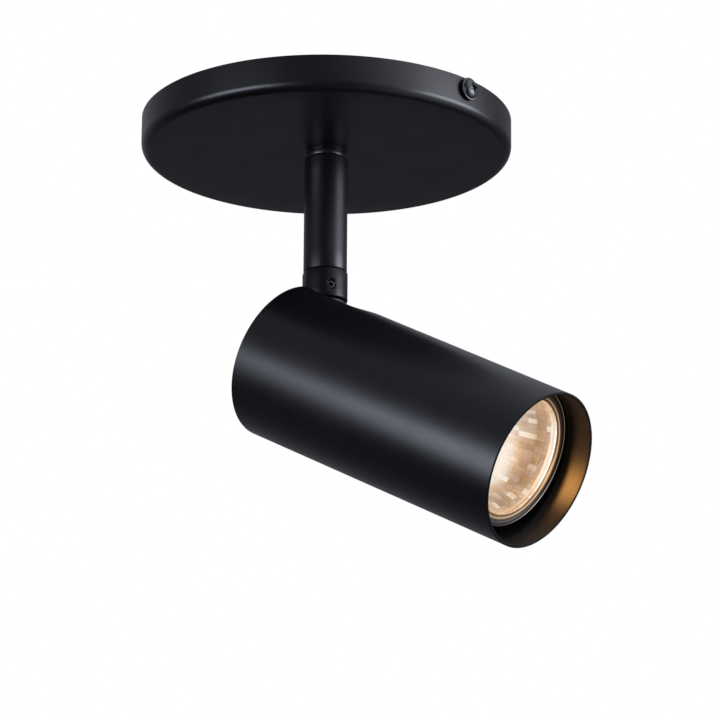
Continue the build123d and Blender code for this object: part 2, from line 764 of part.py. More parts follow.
def make_lamp_capsule():
    """The quartz capsule in the bowl's throat, hollow, with a round nose and a pinched foot."""
    back = neck_front - lamp_neck_length
    front = back + capsule_length
    capsule = fillet(edges_at(rod(capsule_radius, back, front), front), capsule_radius * 0.8)
    inner_radius = capsule_radius - capsule_wall
    hollow_back = back + capsule_length * 0.3
    hollow = rod(inner_radius, hollow_back, front - capsule_wall)
    hollow = fillet(edges_at(hollow, front - capsule_wall), inner_radius * 0.8)
    return on_lamp_axis(capsule - hollow)


def make_lamp_filament():
    """The filament across the capsule and the two wires that hold it up."""
    foot = neck_front - lamp_neck_length + capsule_length * 0.3
    centre = foot + capsule_length * 0.42
    filament = Location((0, 0, centre)) * Rot(90, 0, 0) * Cylinder(filament_radius, filament_length)
    for side in (-1, 1):
        y = side * (filament_length / 2 - 2 * support_radius)
        filament += Location((0, y, 0)) * rod(support_radius, foot, centre)
    return on_lamp_axis(filament)


PIECES = {
    "canopy_cover": make_canopy_cover,
    "mounting_strap": make_mounting_strap,
    "canopy_screws": make_canopy_screws,
    "earth_screw": make_earth_screw,
    "terminal_block": make_terminal_block,
    "terminal_clamps": make_terminal_clamps,
    "clamp_screws": make_clamp_screws,
    "block_screw": make_block_screw,
    "stem_nipple": make_stem_nipple,
    "toothed_washer": make_toothed_washer,
    "stem_lock_nut": make_stem_lock_nut,
    "stem_washer": make_stem_washer,
    "stem_tube": make_stem_tube,
    "stem_key": make_stem_key,
    "knuckle_socket": make_knuckle_socket,
    "knuckle_grub_screw": make_knuckle_grub_screw,
    "swivel_arm": make_swivel_arm,
    "arm_set_screw": make_arm_set_screw,
    "wire_bush": make_wire_bush,
    "housing_tube": make_housing_tube,
    "rear_cap": make_rear_cap,
    "bulkhead": make_bulkhead,
    "pivot_bracket": make_pivot_bracket,
    "bracket_rivets": make_bracket_rivets,
    "pivot_bolt": make_pivot_bolt,
    "pivot_nut": make_pivot_nut,
    "friction_washers": make_friction_washers,
    "spring_washers": make_spring_washers,
    "lamp_holder": make_lamp_holder,
    "holder_screws": make_holder_screws,
    "holder_contacts": make_holder_contacts,
    "lamp_reflector": make_lamp_reflector,
    "lamp_front_glass": make_lamp_front_glass,
    "lamp_base": make_lamp_base,
    "lamp_pins": make_lamp_pins,
    "lamp_capsule": make_lamp_capsule,
    "lamp_filament": make_lamp_filament,
}

for name, make in PIECES.items():
    made = make()
    solids = made if isinstance(made, list) else [made]
    piece = Compound(children=[solid for shape in solids for solid in shape.solids()])
    export_step(piece, f"parts/{name}.step")
    print(f"{name}: {len(piece.solids())} solid(s), {piece.volume:.1f} mm3")

print(f"tube {2 * tube_radius:.1f} x {tube_length:.1f}, pivot at z {pivot_z:.1f}")
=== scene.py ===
"""Looks of a surface mounted ceiling spotlight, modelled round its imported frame."""

from __future__ import annotations

import json
import logging
import math
import random
from dataclasses import dataclass
from enum import Enum
from itertools import pairwise
from typing import Iterable, Sequence

import bmesh
import bpy
from mathutils import Matrix, Vector

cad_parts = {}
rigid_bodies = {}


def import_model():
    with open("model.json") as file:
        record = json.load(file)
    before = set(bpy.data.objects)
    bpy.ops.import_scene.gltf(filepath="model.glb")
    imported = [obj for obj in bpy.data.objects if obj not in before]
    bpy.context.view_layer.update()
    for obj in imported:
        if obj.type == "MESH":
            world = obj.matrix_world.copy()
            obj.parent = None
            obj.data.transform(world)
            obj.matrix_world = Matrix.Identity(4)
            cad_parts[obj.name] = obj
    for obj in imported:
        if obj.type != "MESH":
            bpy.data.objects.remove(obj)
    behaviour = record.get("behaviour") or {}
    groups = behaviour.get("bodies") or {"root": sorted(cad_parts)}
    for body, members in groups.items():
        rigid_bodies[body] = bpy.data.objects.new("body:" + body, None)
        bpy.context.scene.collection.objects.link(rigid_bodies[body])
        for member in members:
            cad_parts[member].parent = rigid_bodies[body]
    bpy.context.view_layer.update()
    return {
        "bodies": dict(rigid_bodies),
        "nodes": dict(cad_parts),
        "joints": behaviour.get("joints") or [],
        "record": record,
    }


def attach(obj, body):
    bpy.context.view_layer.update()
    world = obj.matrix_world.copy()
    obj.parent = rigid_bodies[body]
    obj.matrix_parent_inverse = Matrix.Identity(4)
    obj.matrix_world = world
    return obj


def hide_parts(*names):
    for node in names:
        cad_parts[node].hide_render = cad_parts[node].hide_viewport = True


log = logging.getLogger("spotlight")

MM = 0.001
Point = tuple[float, float]
Colour = tuple[float, float, float]
BLACK: Colour = (0.0, 0.0, 0.0)
SLIP = 0.05  # radial room of a piece in its seat, in mm
THROUGH = 40.0  # length of a cutter that goes right through a piece, in mm
DARK_METAL: tuple[Colour, Colour] = ((0.010, 0.008, 0.006), (0.025, 0.020, 0.016))


class Body(Enum):
    """The rigid bodies of the frame."""

    MOUNT = "mount"
    ARM = "arm"
    TUBE = "tube"
    LAMP = "lamp"


# --------------------------------------------------------------------------- shader tools


class Wire:
    """A socket of a shader, on which arithmetic adds Math nodes."""

    def __init__(self, board: "Board", socket: bpy.types.NodeSocket) -> None:
        """Wraps a socket.

        Args:
            board: the shader that the socket belongs to.
            socket: an output socket.
        """
        self.board = board
        self.socket = socket

    def _with(self, operation: str, first: "Wire | float", second: "Wire | float") -> "Wire":
        """Adds one Math node."""
        return self.board.node("ShaderNodeMath", {"operation": operation}, {0: first, 1: second})

    def __add__(self, other: "Wire | float") -> "Wire":
        """self + other."""
        return self._with("ADD", self, other)

    def __radd__(self, other: float) -> "Wire":
        """other + self."""
        return self._with("ADD", other, self)

    def __sub__(self, other: "Wire | float") -> "Wire":
        """self - other."""
        return self._with("SUBTRACT", self, other)

    def __rsub__(self, other: float) -> "Wire":
        """other - self."""
        return self._with("SUBTRACT", other, self)

    def __mul__(self, other: "Wire | float") -> "Wire":
        """self * other."""
        return self._with("MULTIPLY", self, other)

    def __rmul__(self, other: float) -> "Wire":
        """other * self."""
        return self._with("MULTIPLY", other, self)

    def __truediv__(self, other: "Wire | float") -> "Wire":
        """self / other."""
        return self._with("DIVIDE", self, other)

    def __pow__(self, other: "Wire | float") -> "Wire":
        """self ** other."""
        return self._with("POWER", self, other)

    def apply(self, operation: str, other: "Wire | float" = 0.0) -> "Wire":
        """Any other Math operation of this value and one more.

        Args:
            operation: the Math node's operation.
            other: its second value.

        Returns:
            The result.
        """
        return self._with(operation, self, other)


class Board:
    """One material's shader and the few calls that fill it."""

    def __init__(self, name: str = "") -> None:
        """Starts an empty material.

        Args:
            name: the material's name, or nothing for a board without one.
        """
        if name:
            self.material = bpy.data.materials.new(name)
            self.material.use_nodes = True
            self.tree = self.material.node_tree
            self.tree.nodes.clear()

    @classmethod
    def on(cls, tree: bpy.types.NodeTree) -> "Board":
        """Starts on a node tree that is there already, once it is emptied.

        Args:
            tree: the node tree.

        Returns:
            The board.
        """
        board = cls()
        board.tree = tree
        tree.nodes.clear()
        return board

    def number(self, value: float) -> Wire:
        """A plain number.

        Args:
            value: the number.

        Returns:
            It, as a wire.
        """
        made = self.tree.nodes.new("ShaderNodeValue")
        made.outputs[0].default_value = value
        return Wire(self, made.outputs[0])

    def node(self, kind: str, settings: dict | None = None, inputs: dict | None = None,
             output: str | int = 0) -> Wire:
        """Adds a node, sets it and joins its sockets.

        Args:
            kind: the node's type.
            settings: its properties, set first.
            inputs: values or wires by socket name or place.
            output: the output that is handed back.

        Returns:
            That output.
        """
        made = self.tree.nodes.new(kind)
        for key, value in (settings or {}).items():
            setattr(made, key, value)
        for key, value in (inputs or {}).items():
            if isinstance(value, Wire):
                self.tree.links.new(value.socket, made.inputs[key])
            else:
                made.inputs[key].default_value = value
        return Wire(self, made.outputs[output])

    def ramp(self, value: Wire, stops: Sequence[tuple[float, Colour]]) -> Wire:
        """A colour ramp.

        Args:
            value: what runs along it.
            stops: place and colour of each stop.

        Returns:
            The colour.
        """
        made = self.tree.nodes.new("ShaderNodeValToRGB")
        ramp = made.color_ramp
        while len(ramp.elements) < len(stops):
            ramp.elements.new(0.5)
        for element, (place, colour) in zip(ramp.elements, stops):
            element.position = place
            element.color = (*colour, 1.0)
        self.tree.links.new(value.socket, made.inputs[0])
        return Wire(self, made.outputs[0])

    def levels(self, value: Wire, stops: Sequence[tuple[float, float]]) -> Wire:
        """A ramp of plain levels.

        Args:
            value: what runs along it.
            stops: place and level of each stop.

        Returns:
            The level.
        """
        return self.ramp(value, [(place, (level, level, level)) for place, level in stops])

    def remap(self, value: Wire, low: float, high: float, new_low: float = 0.0,
              new_high: float = 1.0) -> Wire:
        """Moves a value from one range to another, held at its ends.

        Args:
            value: the value.
            low: start of its range.
            high: end of its range.
            new_low: start of the new range.
            new_high: end of the new range.

        Returns:
            The new value.
        """
        return self.node("ShaderNodeMapRange", {"clamp": True},
                         {0: value, 1: low, 2: high, 3: new_low, 4: new_high})

    def blend(self, factor: Wire | float, first: Wire | Colour, second: Wire | Colour) -> Wire:
        """Mixes two colours.

        Args:
            factor: how much of the second.
            first: colour at 0.
            second: colour at 1.

        Returns:
            The mix.
        """
        both = [c if isinstance(c, Wire) else (*c, 1.0) for c in (first, second)]
        return self.node("ShaderNodeMix", {"data_type": "RGBA"}, {0: factor, 6: both[0], 7: both[1]}, 2)

    def sum(self, first: Wire, second: Wire) -> Wire:
        """Adds two colours.

        Args:
            first: one colour.
            second: the other.

        Returns:
            Their sum.
        """
        add = {"data_type": "RGBA", "blend_type": "ADD"}
        return self.node("ShaderNodeMix", add, {0: 1.0, 6: first, 7: second}, 2)

    def place(self, frame: Matrix | None = None) -> Wire:
        """Object coordinates, in a piece's own frame where one is given.

        Args:
            frame: the piece's own frame in the row frame.

        Returns:
            The coordinates, in metres.
        """
        here = self.node("ShaderNodeTexCoord", output="Object")
        if frame is None:
            return here
        turn = frame.to_euler("XYZ")
        return self.node("ShaderNodeMapping", {"vector_type": "TEXTURE"},
                         {"Vector": here, "Location": frame.translation, "Rotation": turn})

    def parts(self, where: Wire) -> list[Wire]:
        """The three numbers of a vector.

        Args:
            where: the vector.

        Returns:
            Its X, Y and Z.
        """
        made = self.tree.nodes.new("ShaderNodeSeparateXYZ")
        self.tree.links.new(where.socket, made.inputs[0])
        return [Wire(self, socket) for socket in made.outputs]

    def radius(self, x: Wire, y: Wire) -> Wire:
        """How far a place lies from the axis.

        Args:
            x: its X, in metres.
            y: its Y.

        Returns:
            The distance in mm.
        """
        return (x * x + y * y).apply("SQRT") * (1 / MM)

    def towards(self, x: Wire, y: Wire, angle: float, power: float) -> Wire:
        """How near a place lies to one side of the axis.

        Args:
            x: its X, in metres.
            y: its Y.
            angle: that side, in degrees from X to Y.
            power: how narrow the stretch is.

        Returns:
            1 at that side, 0 at the other.
        """
        turn = math.radians(angle)
        cosine = (x * math.cos(turn) + y * math.sin(turn)) * (1 / MM) / self.radius(x, y)
        return (cosine * 0.5 + 0.5) ** power

    def noise(self, where: Wire, size_mm: float, detail: float = 3.0, roughness: float = 0.5) -> Wire:
        """Noise of a given grain.

        Args:
            where: coordinates in metres.
            size_mm: the grain's size.
            detail: octaves.
            roughness: strength of the finer octaves.

        Returns:
            A value about one half.
        """
        return self.node("ShaderNodeTexNoise", None,
                         {"Vector": where, "Scale": 1 / (size_mm * MM), "Detail": detail,
                          "Roughness": roughness})

    def bump(self, height: Wire, depth_mm: float, strength: float = 1.0) -> Wire:
        """A bump from a height map.

        Args:
            height: the height, 0 to 1.
            depth_mm: its depth.
            strength: how much of it shows.

        Returns:
            The normal.
        """
        return self.node("ShaderNodeBump", None,
                         {"Height": height, "Distance": depth_mm * MM, "Strength": strength})

    def surface(self, settings: dict) -> Wire:
        """A Principled surface.

        Args:
            settings: values or wires by socket name.

        Returns:
            The shader.
        """
        return self.node("ShaderNodeBsdfPrincipled", None, settings)

    def done(self, shader: Wire) -> bpy.types.Material:
        """Ends the material.

        Args:
            shader: the final shader.

        Returns:
            The material.
        """
        output = self.tree.nodes.new("ShaderNodeOutputMaterial")
        self.tree.links.new(shader.socket, output.inputs["Surface"])
        return self.material

    def skin(self, settings: dict) -> bpy.types.Material:
        """Ends the material with a plain Principled surface.

        Args:
            settings: values or wires by socket name.

        Returns:
            The material.
        """
        return self.done(self.surface(settings))


# --------------------------------------------------------------------------- finishes


@dataclass(frozen=True)
class SatinPaint:
    """Fine-grained black powder coat on metal."""

    name: str = "satin_black_paint"
    colour: Colour = (0.0035, 0.0036, 0.0042)
    roughness: float = 0.345
    roughness_spread: float = 0.025
    grain_mm: float = 0.22
    grain_depth_mm: float = 0.004
    specular: float = 0.5

    def material(self) -> bpy.types.Material:
        """Builds the paint.

        Returns:
            The material.
        """
        board = Board(self.name)
        here = board.place()
        grain = board.noise(here, self.grain_mm, 2.0)
        cloud = board.noise(here, 14.0, 3.0)
        low = self.roughness - self.roughness_spread
        high = self.roughness + self.roughness_spread
        rough = board.remap(cloud * 0.7 + grain * 0.3, 0.3, 0.7, low, high)
        tint = board.blend(board.remap(grain, 0.35, 0.65), self.colour,
                           tuple(1.35 * c for c in self.colour))
        return board.skin({
            "Base Color": tint,
            "Roughness": rough,
            "Specular IOR Level": self.specular,
            "Normal": board.bump(grain, self.grain_depth_mm, 0.35),
        })


@dataclass(frozen=True)
class PlatedMetal:
    """Plated or bare metal with fine drawn marks."""

    name: str
    colour: Colour
    roughness: float = 0.3
    mark_mm: float = 0.25
    stain: float = 0.25
    metallic: float = 1.0

    def material(self) -> bpy.types.Material:
        """Builds the metal.

        Returns:
            The material.
        """
        board = Board(self.name)
        here = board.place()
        stretch = board.node("ShaderNodeMapping", None, {"Vector": here, "Scale": (1.0, 0.12, 1.0)})
        marks = board.noise(stretch, self.mark_mm, 2.0)
        cloud = board.noise(here, 3.0, 4.0)
        dull = tuple(c * (1 - self.stain) for c in self.colour)
        return board.skin({
            "Base Color": board.blend(board.remap(cloud, 0.35, 0.7), self.colour, dull),
            "Metallic": self.metallic,
            "Roughness": board.remap(cloud * 0.5 + marks * 0.5, 0.3, 0.7,
                                     self.roughness - 0.06, self.roughness + 0.1),
            "Normal": board.bump(marks, 0.006, 0.4),
        })


@dataclass(frozen=True)
class Moulded:
    """Moulded plastic, fibre or fired ceramic."""

    name: str
    colour: Colour
    roughness: float = 0.5
    pore_mm: float = 0.5
    pore_depth_mm: float = 0.02
    variation: float = 0.12

    def material(self) -> bpy.types.Material:
        """Builds the surface.

        Returns:
            The material.
        """
        board = Board(self.name)
        here = board.place()
        pores = board.noise(here, self.pore_mm, 4.0, 0.6)
        cloud = board.noise(here, 6.0, 2.0)
        shade = tuple(c * (1 - self.variation) for c in self.colour)
        return board.skin({
            "Base Color": board.blend(board.remap(cloud, 0.35, 0.65), self.colour, shade),
            "Roughness": board.remap(pores, 0.3, 0.7, self.roughness - 0.08, self.roughness + 0.08),
            "Normal": board.bump(pores, self.pore_depth_mm, 0.5),
        })


@dataclass(frozen=True)
class FacetMirror:
    """The bowl's mirror coating, with the filament's light in it painted as emission: each facet has its own
    painted tone, stippled and warm.
    """

    frame: Matrix
    sectors: int
    rings: int
    back_mm: float
    front_mm: float
    name: str = "facet_mirror_painted_glow"
    stipple_mm: float = 0.42
    painted_hot_side: float = 106.0
    painted_dim_side: float = 94.0
    painted_deep_glow_side: float = 72.0
    strength: float = 1.22
    painted_veil_glow: Colour = (0.52, 0.44, 0.38)
    painted_glow_tones: tuple[tuple[float, Colour], ...] = (
        (0.0, (0.10, 0.055, 0.025)), (0.25, (0.28, 0.165, 0.085)), (0.45, (0.44, 0.28, 0.155)),
        (0.6, (0.62, 0.41, 0.25)), (0.75, (0.80, 0.61, 0.44)), (0.9, (0.97, 0.88, 0.74)),
        (1.0, (1.0, 0.99, 0.95)),
    )
    painted_glow_by_depth: tuple[tuple[float, float], ...] = (
        (0.0, 0.80), (0.36, 0.95), (0.48, 0.91), (0.60, 0.68), (0.78, 0.53), (0.90, 0.58), (0.94, 0.70),
    )

    def colour(self, board: Board, local: Wire, stipple: Wire) -> Wire:
        """Gives each facet its painted glow, the filament's reflection painted as emission.

        Args:
            board: the coating's shader.
            local: a place in the lamp's own frame.
            stipple: the coating's fine grain, about 0.

        Returns:
            The colour.
        """
        x, y, z = board.parts(local)
        turn = y.apply("ARCTAN2", x) * (self.sectors / (2 * math.pi))
        share = board.remap(z, self.back_mm * MM, self.front_mm * MM)
        ring = (share * float(self.rings)).apply("FLOOR")
        facet = board.node("ShaderNodeCombineXYZ", None, {0: turn.apply("FLOOR"), 1: ring})
        luck = board.node("ShaderNodeTexWhiteNoise", {"noise_dimensions": "3D"}, {"Vector": facet})
        veil = board.node("ShaderNodeTexWhiteNoise", {"noise_dimensions": "4D"}, {"Vector": facet, "W": 7.0})
        edge = (turn.apply("FRACT") - 0.5).apply("ABSOLUTE")
        seam = board.remap(edge, 0.42, 0.5, 0.0, 0.10)
        painted_glint = board.remap(luck, 0.85, 0.88) * board.remap(share, 0.4, 0.9, 0.32, 0.18)
        cloud = board.remap(board.noise(local, 7.0, 2.0), 0.3, 0.7, -0.5, 0.5)
        brush = board.node("ShaderNodeCombineXYZ", None, {0: turn * 3.0, 1: share * 1.5})
        streak = board.node("ShaderNodeTexNoise", None, {"Vector": brush, "Scale": 1.0, "Detail": 2.0}) - 0.5
        depth = board.levels(share, self.painted_glow_by_depth)
        dull = board.towards(x, y, self.painted_dim_side, 14.0) * board.remap(share, 0.6, 0.72, 0.0, 0.13)
        painted_deep_glow = board.towards(x, y, self.painted_deep_glow_side, 12.0) * board.remap(share, 0.50, 0.68, 1.0, 0.0)
        # painted reflection of the filament: a tone per facet, dimmer on one side, brighter deep on another,
        # with painted glints
        tone = depth - dull - seam + painted_glint + painted_deep_glow * 0.4 + (luck - 0.5) * 0.18
        tone = tone + stipple * 0.20 + cloud * 0.12 + streak * 0.24
        # near the rim the facets take a painted glow line, brightest on one side
        lit = board.remap(share, 0.93, 0.965)
        painted_rim_glow = board.towards(x, y, self.painted_hot_side, 9.0) * 0.5 + 0.66 + streak * 0.3
        tone = tone * (1.0 - lit) + painted_rim_glow * lit
        # a pale painted veil of reflected light over some facets
        veiled = board.remap(veil, 0.55, 0.6, 0.0, 0.45) * (1.0 - lit) * (1.0 - painted_deep_glow)
        return board.blend(veiled, board.ramp(tone, self.painted_glow_tones), self.painted_veil_glow)

    def material(self) -> bpy.types.Material:
        """Builds the coating.

        Returns:
            The material.
        """
        board = Board(self.name)
        local = board.place(self.frame)
        stipple = board.remap(board.noise(local, self.stipple_mm, 3.0, 0.65), 0.35, 0.65, -0.5, 0.5)
        return board.skin({
            "Base Color": board.blend(board.remap(stipple, -0.5, 0.5), *DARK_METAL),
            "Metallic": 1.0,
            "Roughness": board.remap(stipple, -0.5, 0.5, 0.42, 0.58),
            "Normal": board.bump(stipple, 0.04, 0.4),
            # the facets' painted glow goes in as emission
            "Emission Color": self.colour(board, local, stipple),
            "Emission Strength": self.strength,
        })


@dataclass(frozen=True)
class PaintedFilamentReflection:
    """The far side of the bowl, where the filament's reflection in the mirror is painted in as a hot
    emission.
    """

    frame: Matrix
    back_mm: float
    front_mm: float
    name: str = "painted_filament_reflection"
    colour: Colour = (1.0, 0.46, 0.13)
    strength: float = 235.0
    painted_hot_side: float = 270.0
    stretch: tuple[tuple[float, float], ...] = (
        (0.0, 1.0), (0.24, 1.0), (0.31, 0.5), (0.40, 0.12), (0.50, 0.02),
    )

    def material(self) -> bpy.types.Material:
        """Builds the coating.

        Returns:
            The material.
        """
        board = Board(self.name)
        local = board.place(self.frame)
        x, y, z = board.parts(local)
        share = board.remap(z, self.back_mm * MM, self.front_mm * MM)
        along = board.levels(share, self.stretch)
        grain = board.noise(local, 1.2, 3.0)
        # painted reflection of the filament, strongest towards the back on one side and fading towards the
        # rim
        level = along * board.towards(x, y, self.painted_hot_side, 5.0) * board.remap(grain, 0.3, 0.7, 0.85, 1.0)
        return board.skin({
            "Base Color": board.blend(grain, *DARK_METAL),
            "Metallic": 1.0,
            "Roughness": board.remap(grain, 0.3, 0.7, 0.42, 0.58),
            "Emission Color": board.blend(level, (0.004, 0.002, 0.001), self.colour),
            "Emission Strength": self.strength,
        })


@dataclass(frozen=True)
class RimGlass:
    """The bowl's thick pressed-glass rim, dark against the tube, with a painted highlight line in its outer
    edge and painted glow at its inner edge.
    """

    frame: Matrix
    glass_mm: float
    outer_mm: float
    name: str = "rim_glass"
    flutes: int = 180
    line_mm: float = 0.55
    painted_light_side: float = 64.0
    painted_edge_highlight: Colour = (0.80, 0.74, 0.70)
    painted_warm_side: float = 108.0
    warm: tuple[Colour, Colour] = ((0.02, 0.015, 0.01), (0.26, 0.18, 0.09))

    def material(self) -> bpy.types.Material:
        """Builds the glass.

        Returns:
            The material.
        """
        board = Board(self.name)
        local = board.place(self.frame)
        x, y, z = board.parts(local)
        angle = y.apply("ARCTAN2", x)
        flute = (angle * float(self.flutes)).apply("SINE") * 0.5 + 0.5
        cloud = board.noise(board.place(), 2.0, 3.0)
        tone = board.remap(flute * 0.4 + cloud * 0.6, 0.25, 0.8)
        span = self.outer_mm - self.glass_mm
        across = board.remap(board.radius(x, y), self.glass_mm, self.outer_mm)
        line = 1 - self.line_mm / span
        # painted glow of the lamp's light at the glass's inner edge
        inner = board.ramp(across, ((0.0, (0.045, 0.022, 0.010)), (0.3, (0.004, 0.003, 0.002))))
        outer = board.ramp(across, ((line, BLACK), (line + 0.08, (1.0, 1.0, 1.0))))
        # a painted highlight line along the outer edge, pale on one side and warm on another
        painted_edge_highlight = board.blend(board.towards(x, y, self.painted_light_side, 22.0), BLACK, self.painted_edge_highlight)
        warm = board.blend(board.towards(x, y, self.painted_warm_side, 5.0), *self.warm)
        painted_edge_line = board.blend(outer, BLACK, board.sum(painted_edge_highlight, warm))
        glow = board.sum(painted_edge_line, inner)
        front = board.remap(z, -0.3 * MM, -0.2 * MM)
        return board.skin({
            "Base Color": board.blend(tone, (0.006, 0.005, 0.005), (0.05, 0.045, 0.045)),
            "Roughness": board.remap(cloud, 0.3, 0.7, 0.3, 0.42),
            "Specular IOR Level": 0.15,
            "Normal": board.bump(flute, 0.015, 0.5),
            "Emission Color": board.blend(front, BLACK, glow),
            "Emission Strength": 1.0,
        })


@dataclass(frozen=True)
class GlassCement:
    """The cement that holds the front glass, with the lamp's light painted into it as a fine double line and
    a painted flare on one side.
    """

    frame: Matrix
    inner_mm: float
    outer_mm: float
    name: str = "glass_cement"
    painted_light_side: float = 80.0
    painted_flare_side: float = 87.0
    painted_light_lines: tuple[tuple[float, Colour], ...] = (
        (0.0, (0.34, 0.19, 0.09)), (0.10, (0.15, 0.070, 0.025)), (0.30, (0.17, 0.080, 0.028)),
        (0.46, (0.52, 0.32, 0.15)), (0.62, (1.0, 0.74, 0.50)), (0.72, (0.30, 0.18, 0.10)),
        (0.80, (0.07, 0.038, 0.020)), (1.0, (0.03, 0.016, 0.008)),
    )
    flare: tuple[tuple[float, Colour], ...] = (
        (0.0, (0.95, 0.60, 0.35)), (0.30, (0.80, 0.38, 0.15)), (0.46, (1.0, 0.64, 0.30)),
        (0.62, (0.75, 0.50, 0.28)), (0.76, (0.22, 0.13, 0.07)), (1.0, (0.08, 0.04, 0.02)),
    )

    def material(self) -> bpy.types.Material:
        """Builds the cement.

        Returns:
            The material.
        """
        board = Board(self.name)
        local = board.place(self.frame)
        x, y, _ = board.parts(local)
        grain = board.noise(local, 0.5, 3.0)
        across = board.remap(board.radius(x, y), self.inner_mm, self.outer_mm)
        # painted light in the cement, brightest on one side, with a painted flare on another
        side = board.towards(x, y, self.painted_light_side, 2.2) * 0.95 + 0.12
        level = side * board.remap(grain, 0.3, 0.7, 0.85, 1.1)
        glow = board.blend(board.towards(x, y, self.painted_flare_side, 50.0), board.ramp(across, self.painted_light_lines),
                           board.ramp(across, self.flare))
        return board.skin({
            "Base Color": board.blend(grain, (0.05, 0.035, 0.02), (0.09, 0.07, 0.05)),
            "Roughness": board.remap(grain, 0.3, 0.7, 0.3, 0.45),
            "Emission Color": board.blend(level, BLACK, glow),
            "Emission Strength": 1.0,
        })


@dataclass(frozen=True)
class ClearGlass:
    """Flat clear glass that lets the lamp's light through."""

    name: str = "front_glass"
    tint: Colour = (0.99, 0.975, 0.95)
    gloss: float = 0.03

    def material(self) -> bpy.types.Material:
        """Builds the glass.

        Returns:
            The material.
        """
        board = Board(self.name)
        here = board.place()
        dust = board.noise(here, 0.8, 4.0, 0.7)
        through = board.node("ShaderNodeBsdfTransparent", None, {"Color": (*self.tint, 1.0)})
        gloss = board.surface({
            "Base Color": (0.9, 0.9, 0.9, 1.0),
            "Roughness": board.remap(dust, 0.3, 0.8, self.gloss, self.gloss + 0.06),
            "Metallic": 1.0,
        })
        edge = board.node("ShaderNodeFresnel", None, {"IOR": 1.45})
        share = board.remap(edge, 0.0, 1.0, 0.0, 0.4)
        return board.done(board.node("ShaderNodeMixShader", None, {0: share, 1: through, 2: gloss}))


@dataclass(frozen=True)
class LitQuartz:
    """The capsule's quartz, filled with the filament's light."""

    name: str = "lit_quartz"
    colour: Colour = (1.0, 0.50, 0.17)
    strength: float = 60.0
    share: float = 0.3

    def material(self) -> bpy.types.Material:
        """Builds the quartz.

        Returns:
            The material.
        """
        board = Board(self.name)
        cloud = board.noise(board.place(), 3.0, 2.0)
        through = board.node("ShaderNodeBsdfTransparent", None, {"Color": (1.0, 0.98, 0.95, 1.0)})
        lit = board.surface({
            "Base Color": (0.5, 0.45, 0.4, 1.0),
            "Roughness": board.remap(cloud, 0.3, 0.7, 0.05, 0.15),
            "Emission Color": (*self.colour, 1.0),
            "Emission Strength": self.strength,
        })
        share = board.remap(cloud, 0.3, 0.7, self.share - 0.05, self.share + 0.05)
        return board.done(board.node("ShaderNodeMixShader", None, {0: share, 1: through, 2: lit}))


@dataclass(frozen=True)
class Glow:
    """What burns: the filament."""

    name: str
    colour: Colour
    strength: float
    mottle_mm: float = 0.6

    def material(self) -> bpy.types.Material:
        """Builds the glow.

        Returns:
            The material.
        """
        board = Board(self.name)
        cloud = board.noise(board.place(), self.mottle_mm, 2.0)
        hot = board.blend(board.remap(cloud, 0.3, 0.7), tuple(0.85 * c for c in self.colour),
                          self.colour)
        return board.skin({
            "Base Color": (0.8, 0.75, 0.7, 1.0),
            "Roughness": board.remap(cloud, 0.2, 0.8, 0.2, 0.4),
            "Emission Color": hot,
            "Emission Strength": self.strength,
        })


# --------------------------------------------------------------------------- modelling tools


def arc(centre: Point, radius: float, start: float, end: float, steps: int = 8) -> list[Point]:
    """Points of a round stretch of an outline.

    Args:
        centre: its centre, as radius and height.
        radius: its radius.
        start: angle of the first point, in degrees.
        end: angle of the last.
        steps: how many lengths it has.

    Returns:
        The points, both ends with them.
    """
    angles = [math.radians(start + (end - start) * i / steps) for i in range(steps + 1)]
    return [(centre[0] + radius * math.cos(a), centre[1] + radius * math.sin(a)) for a in angles]


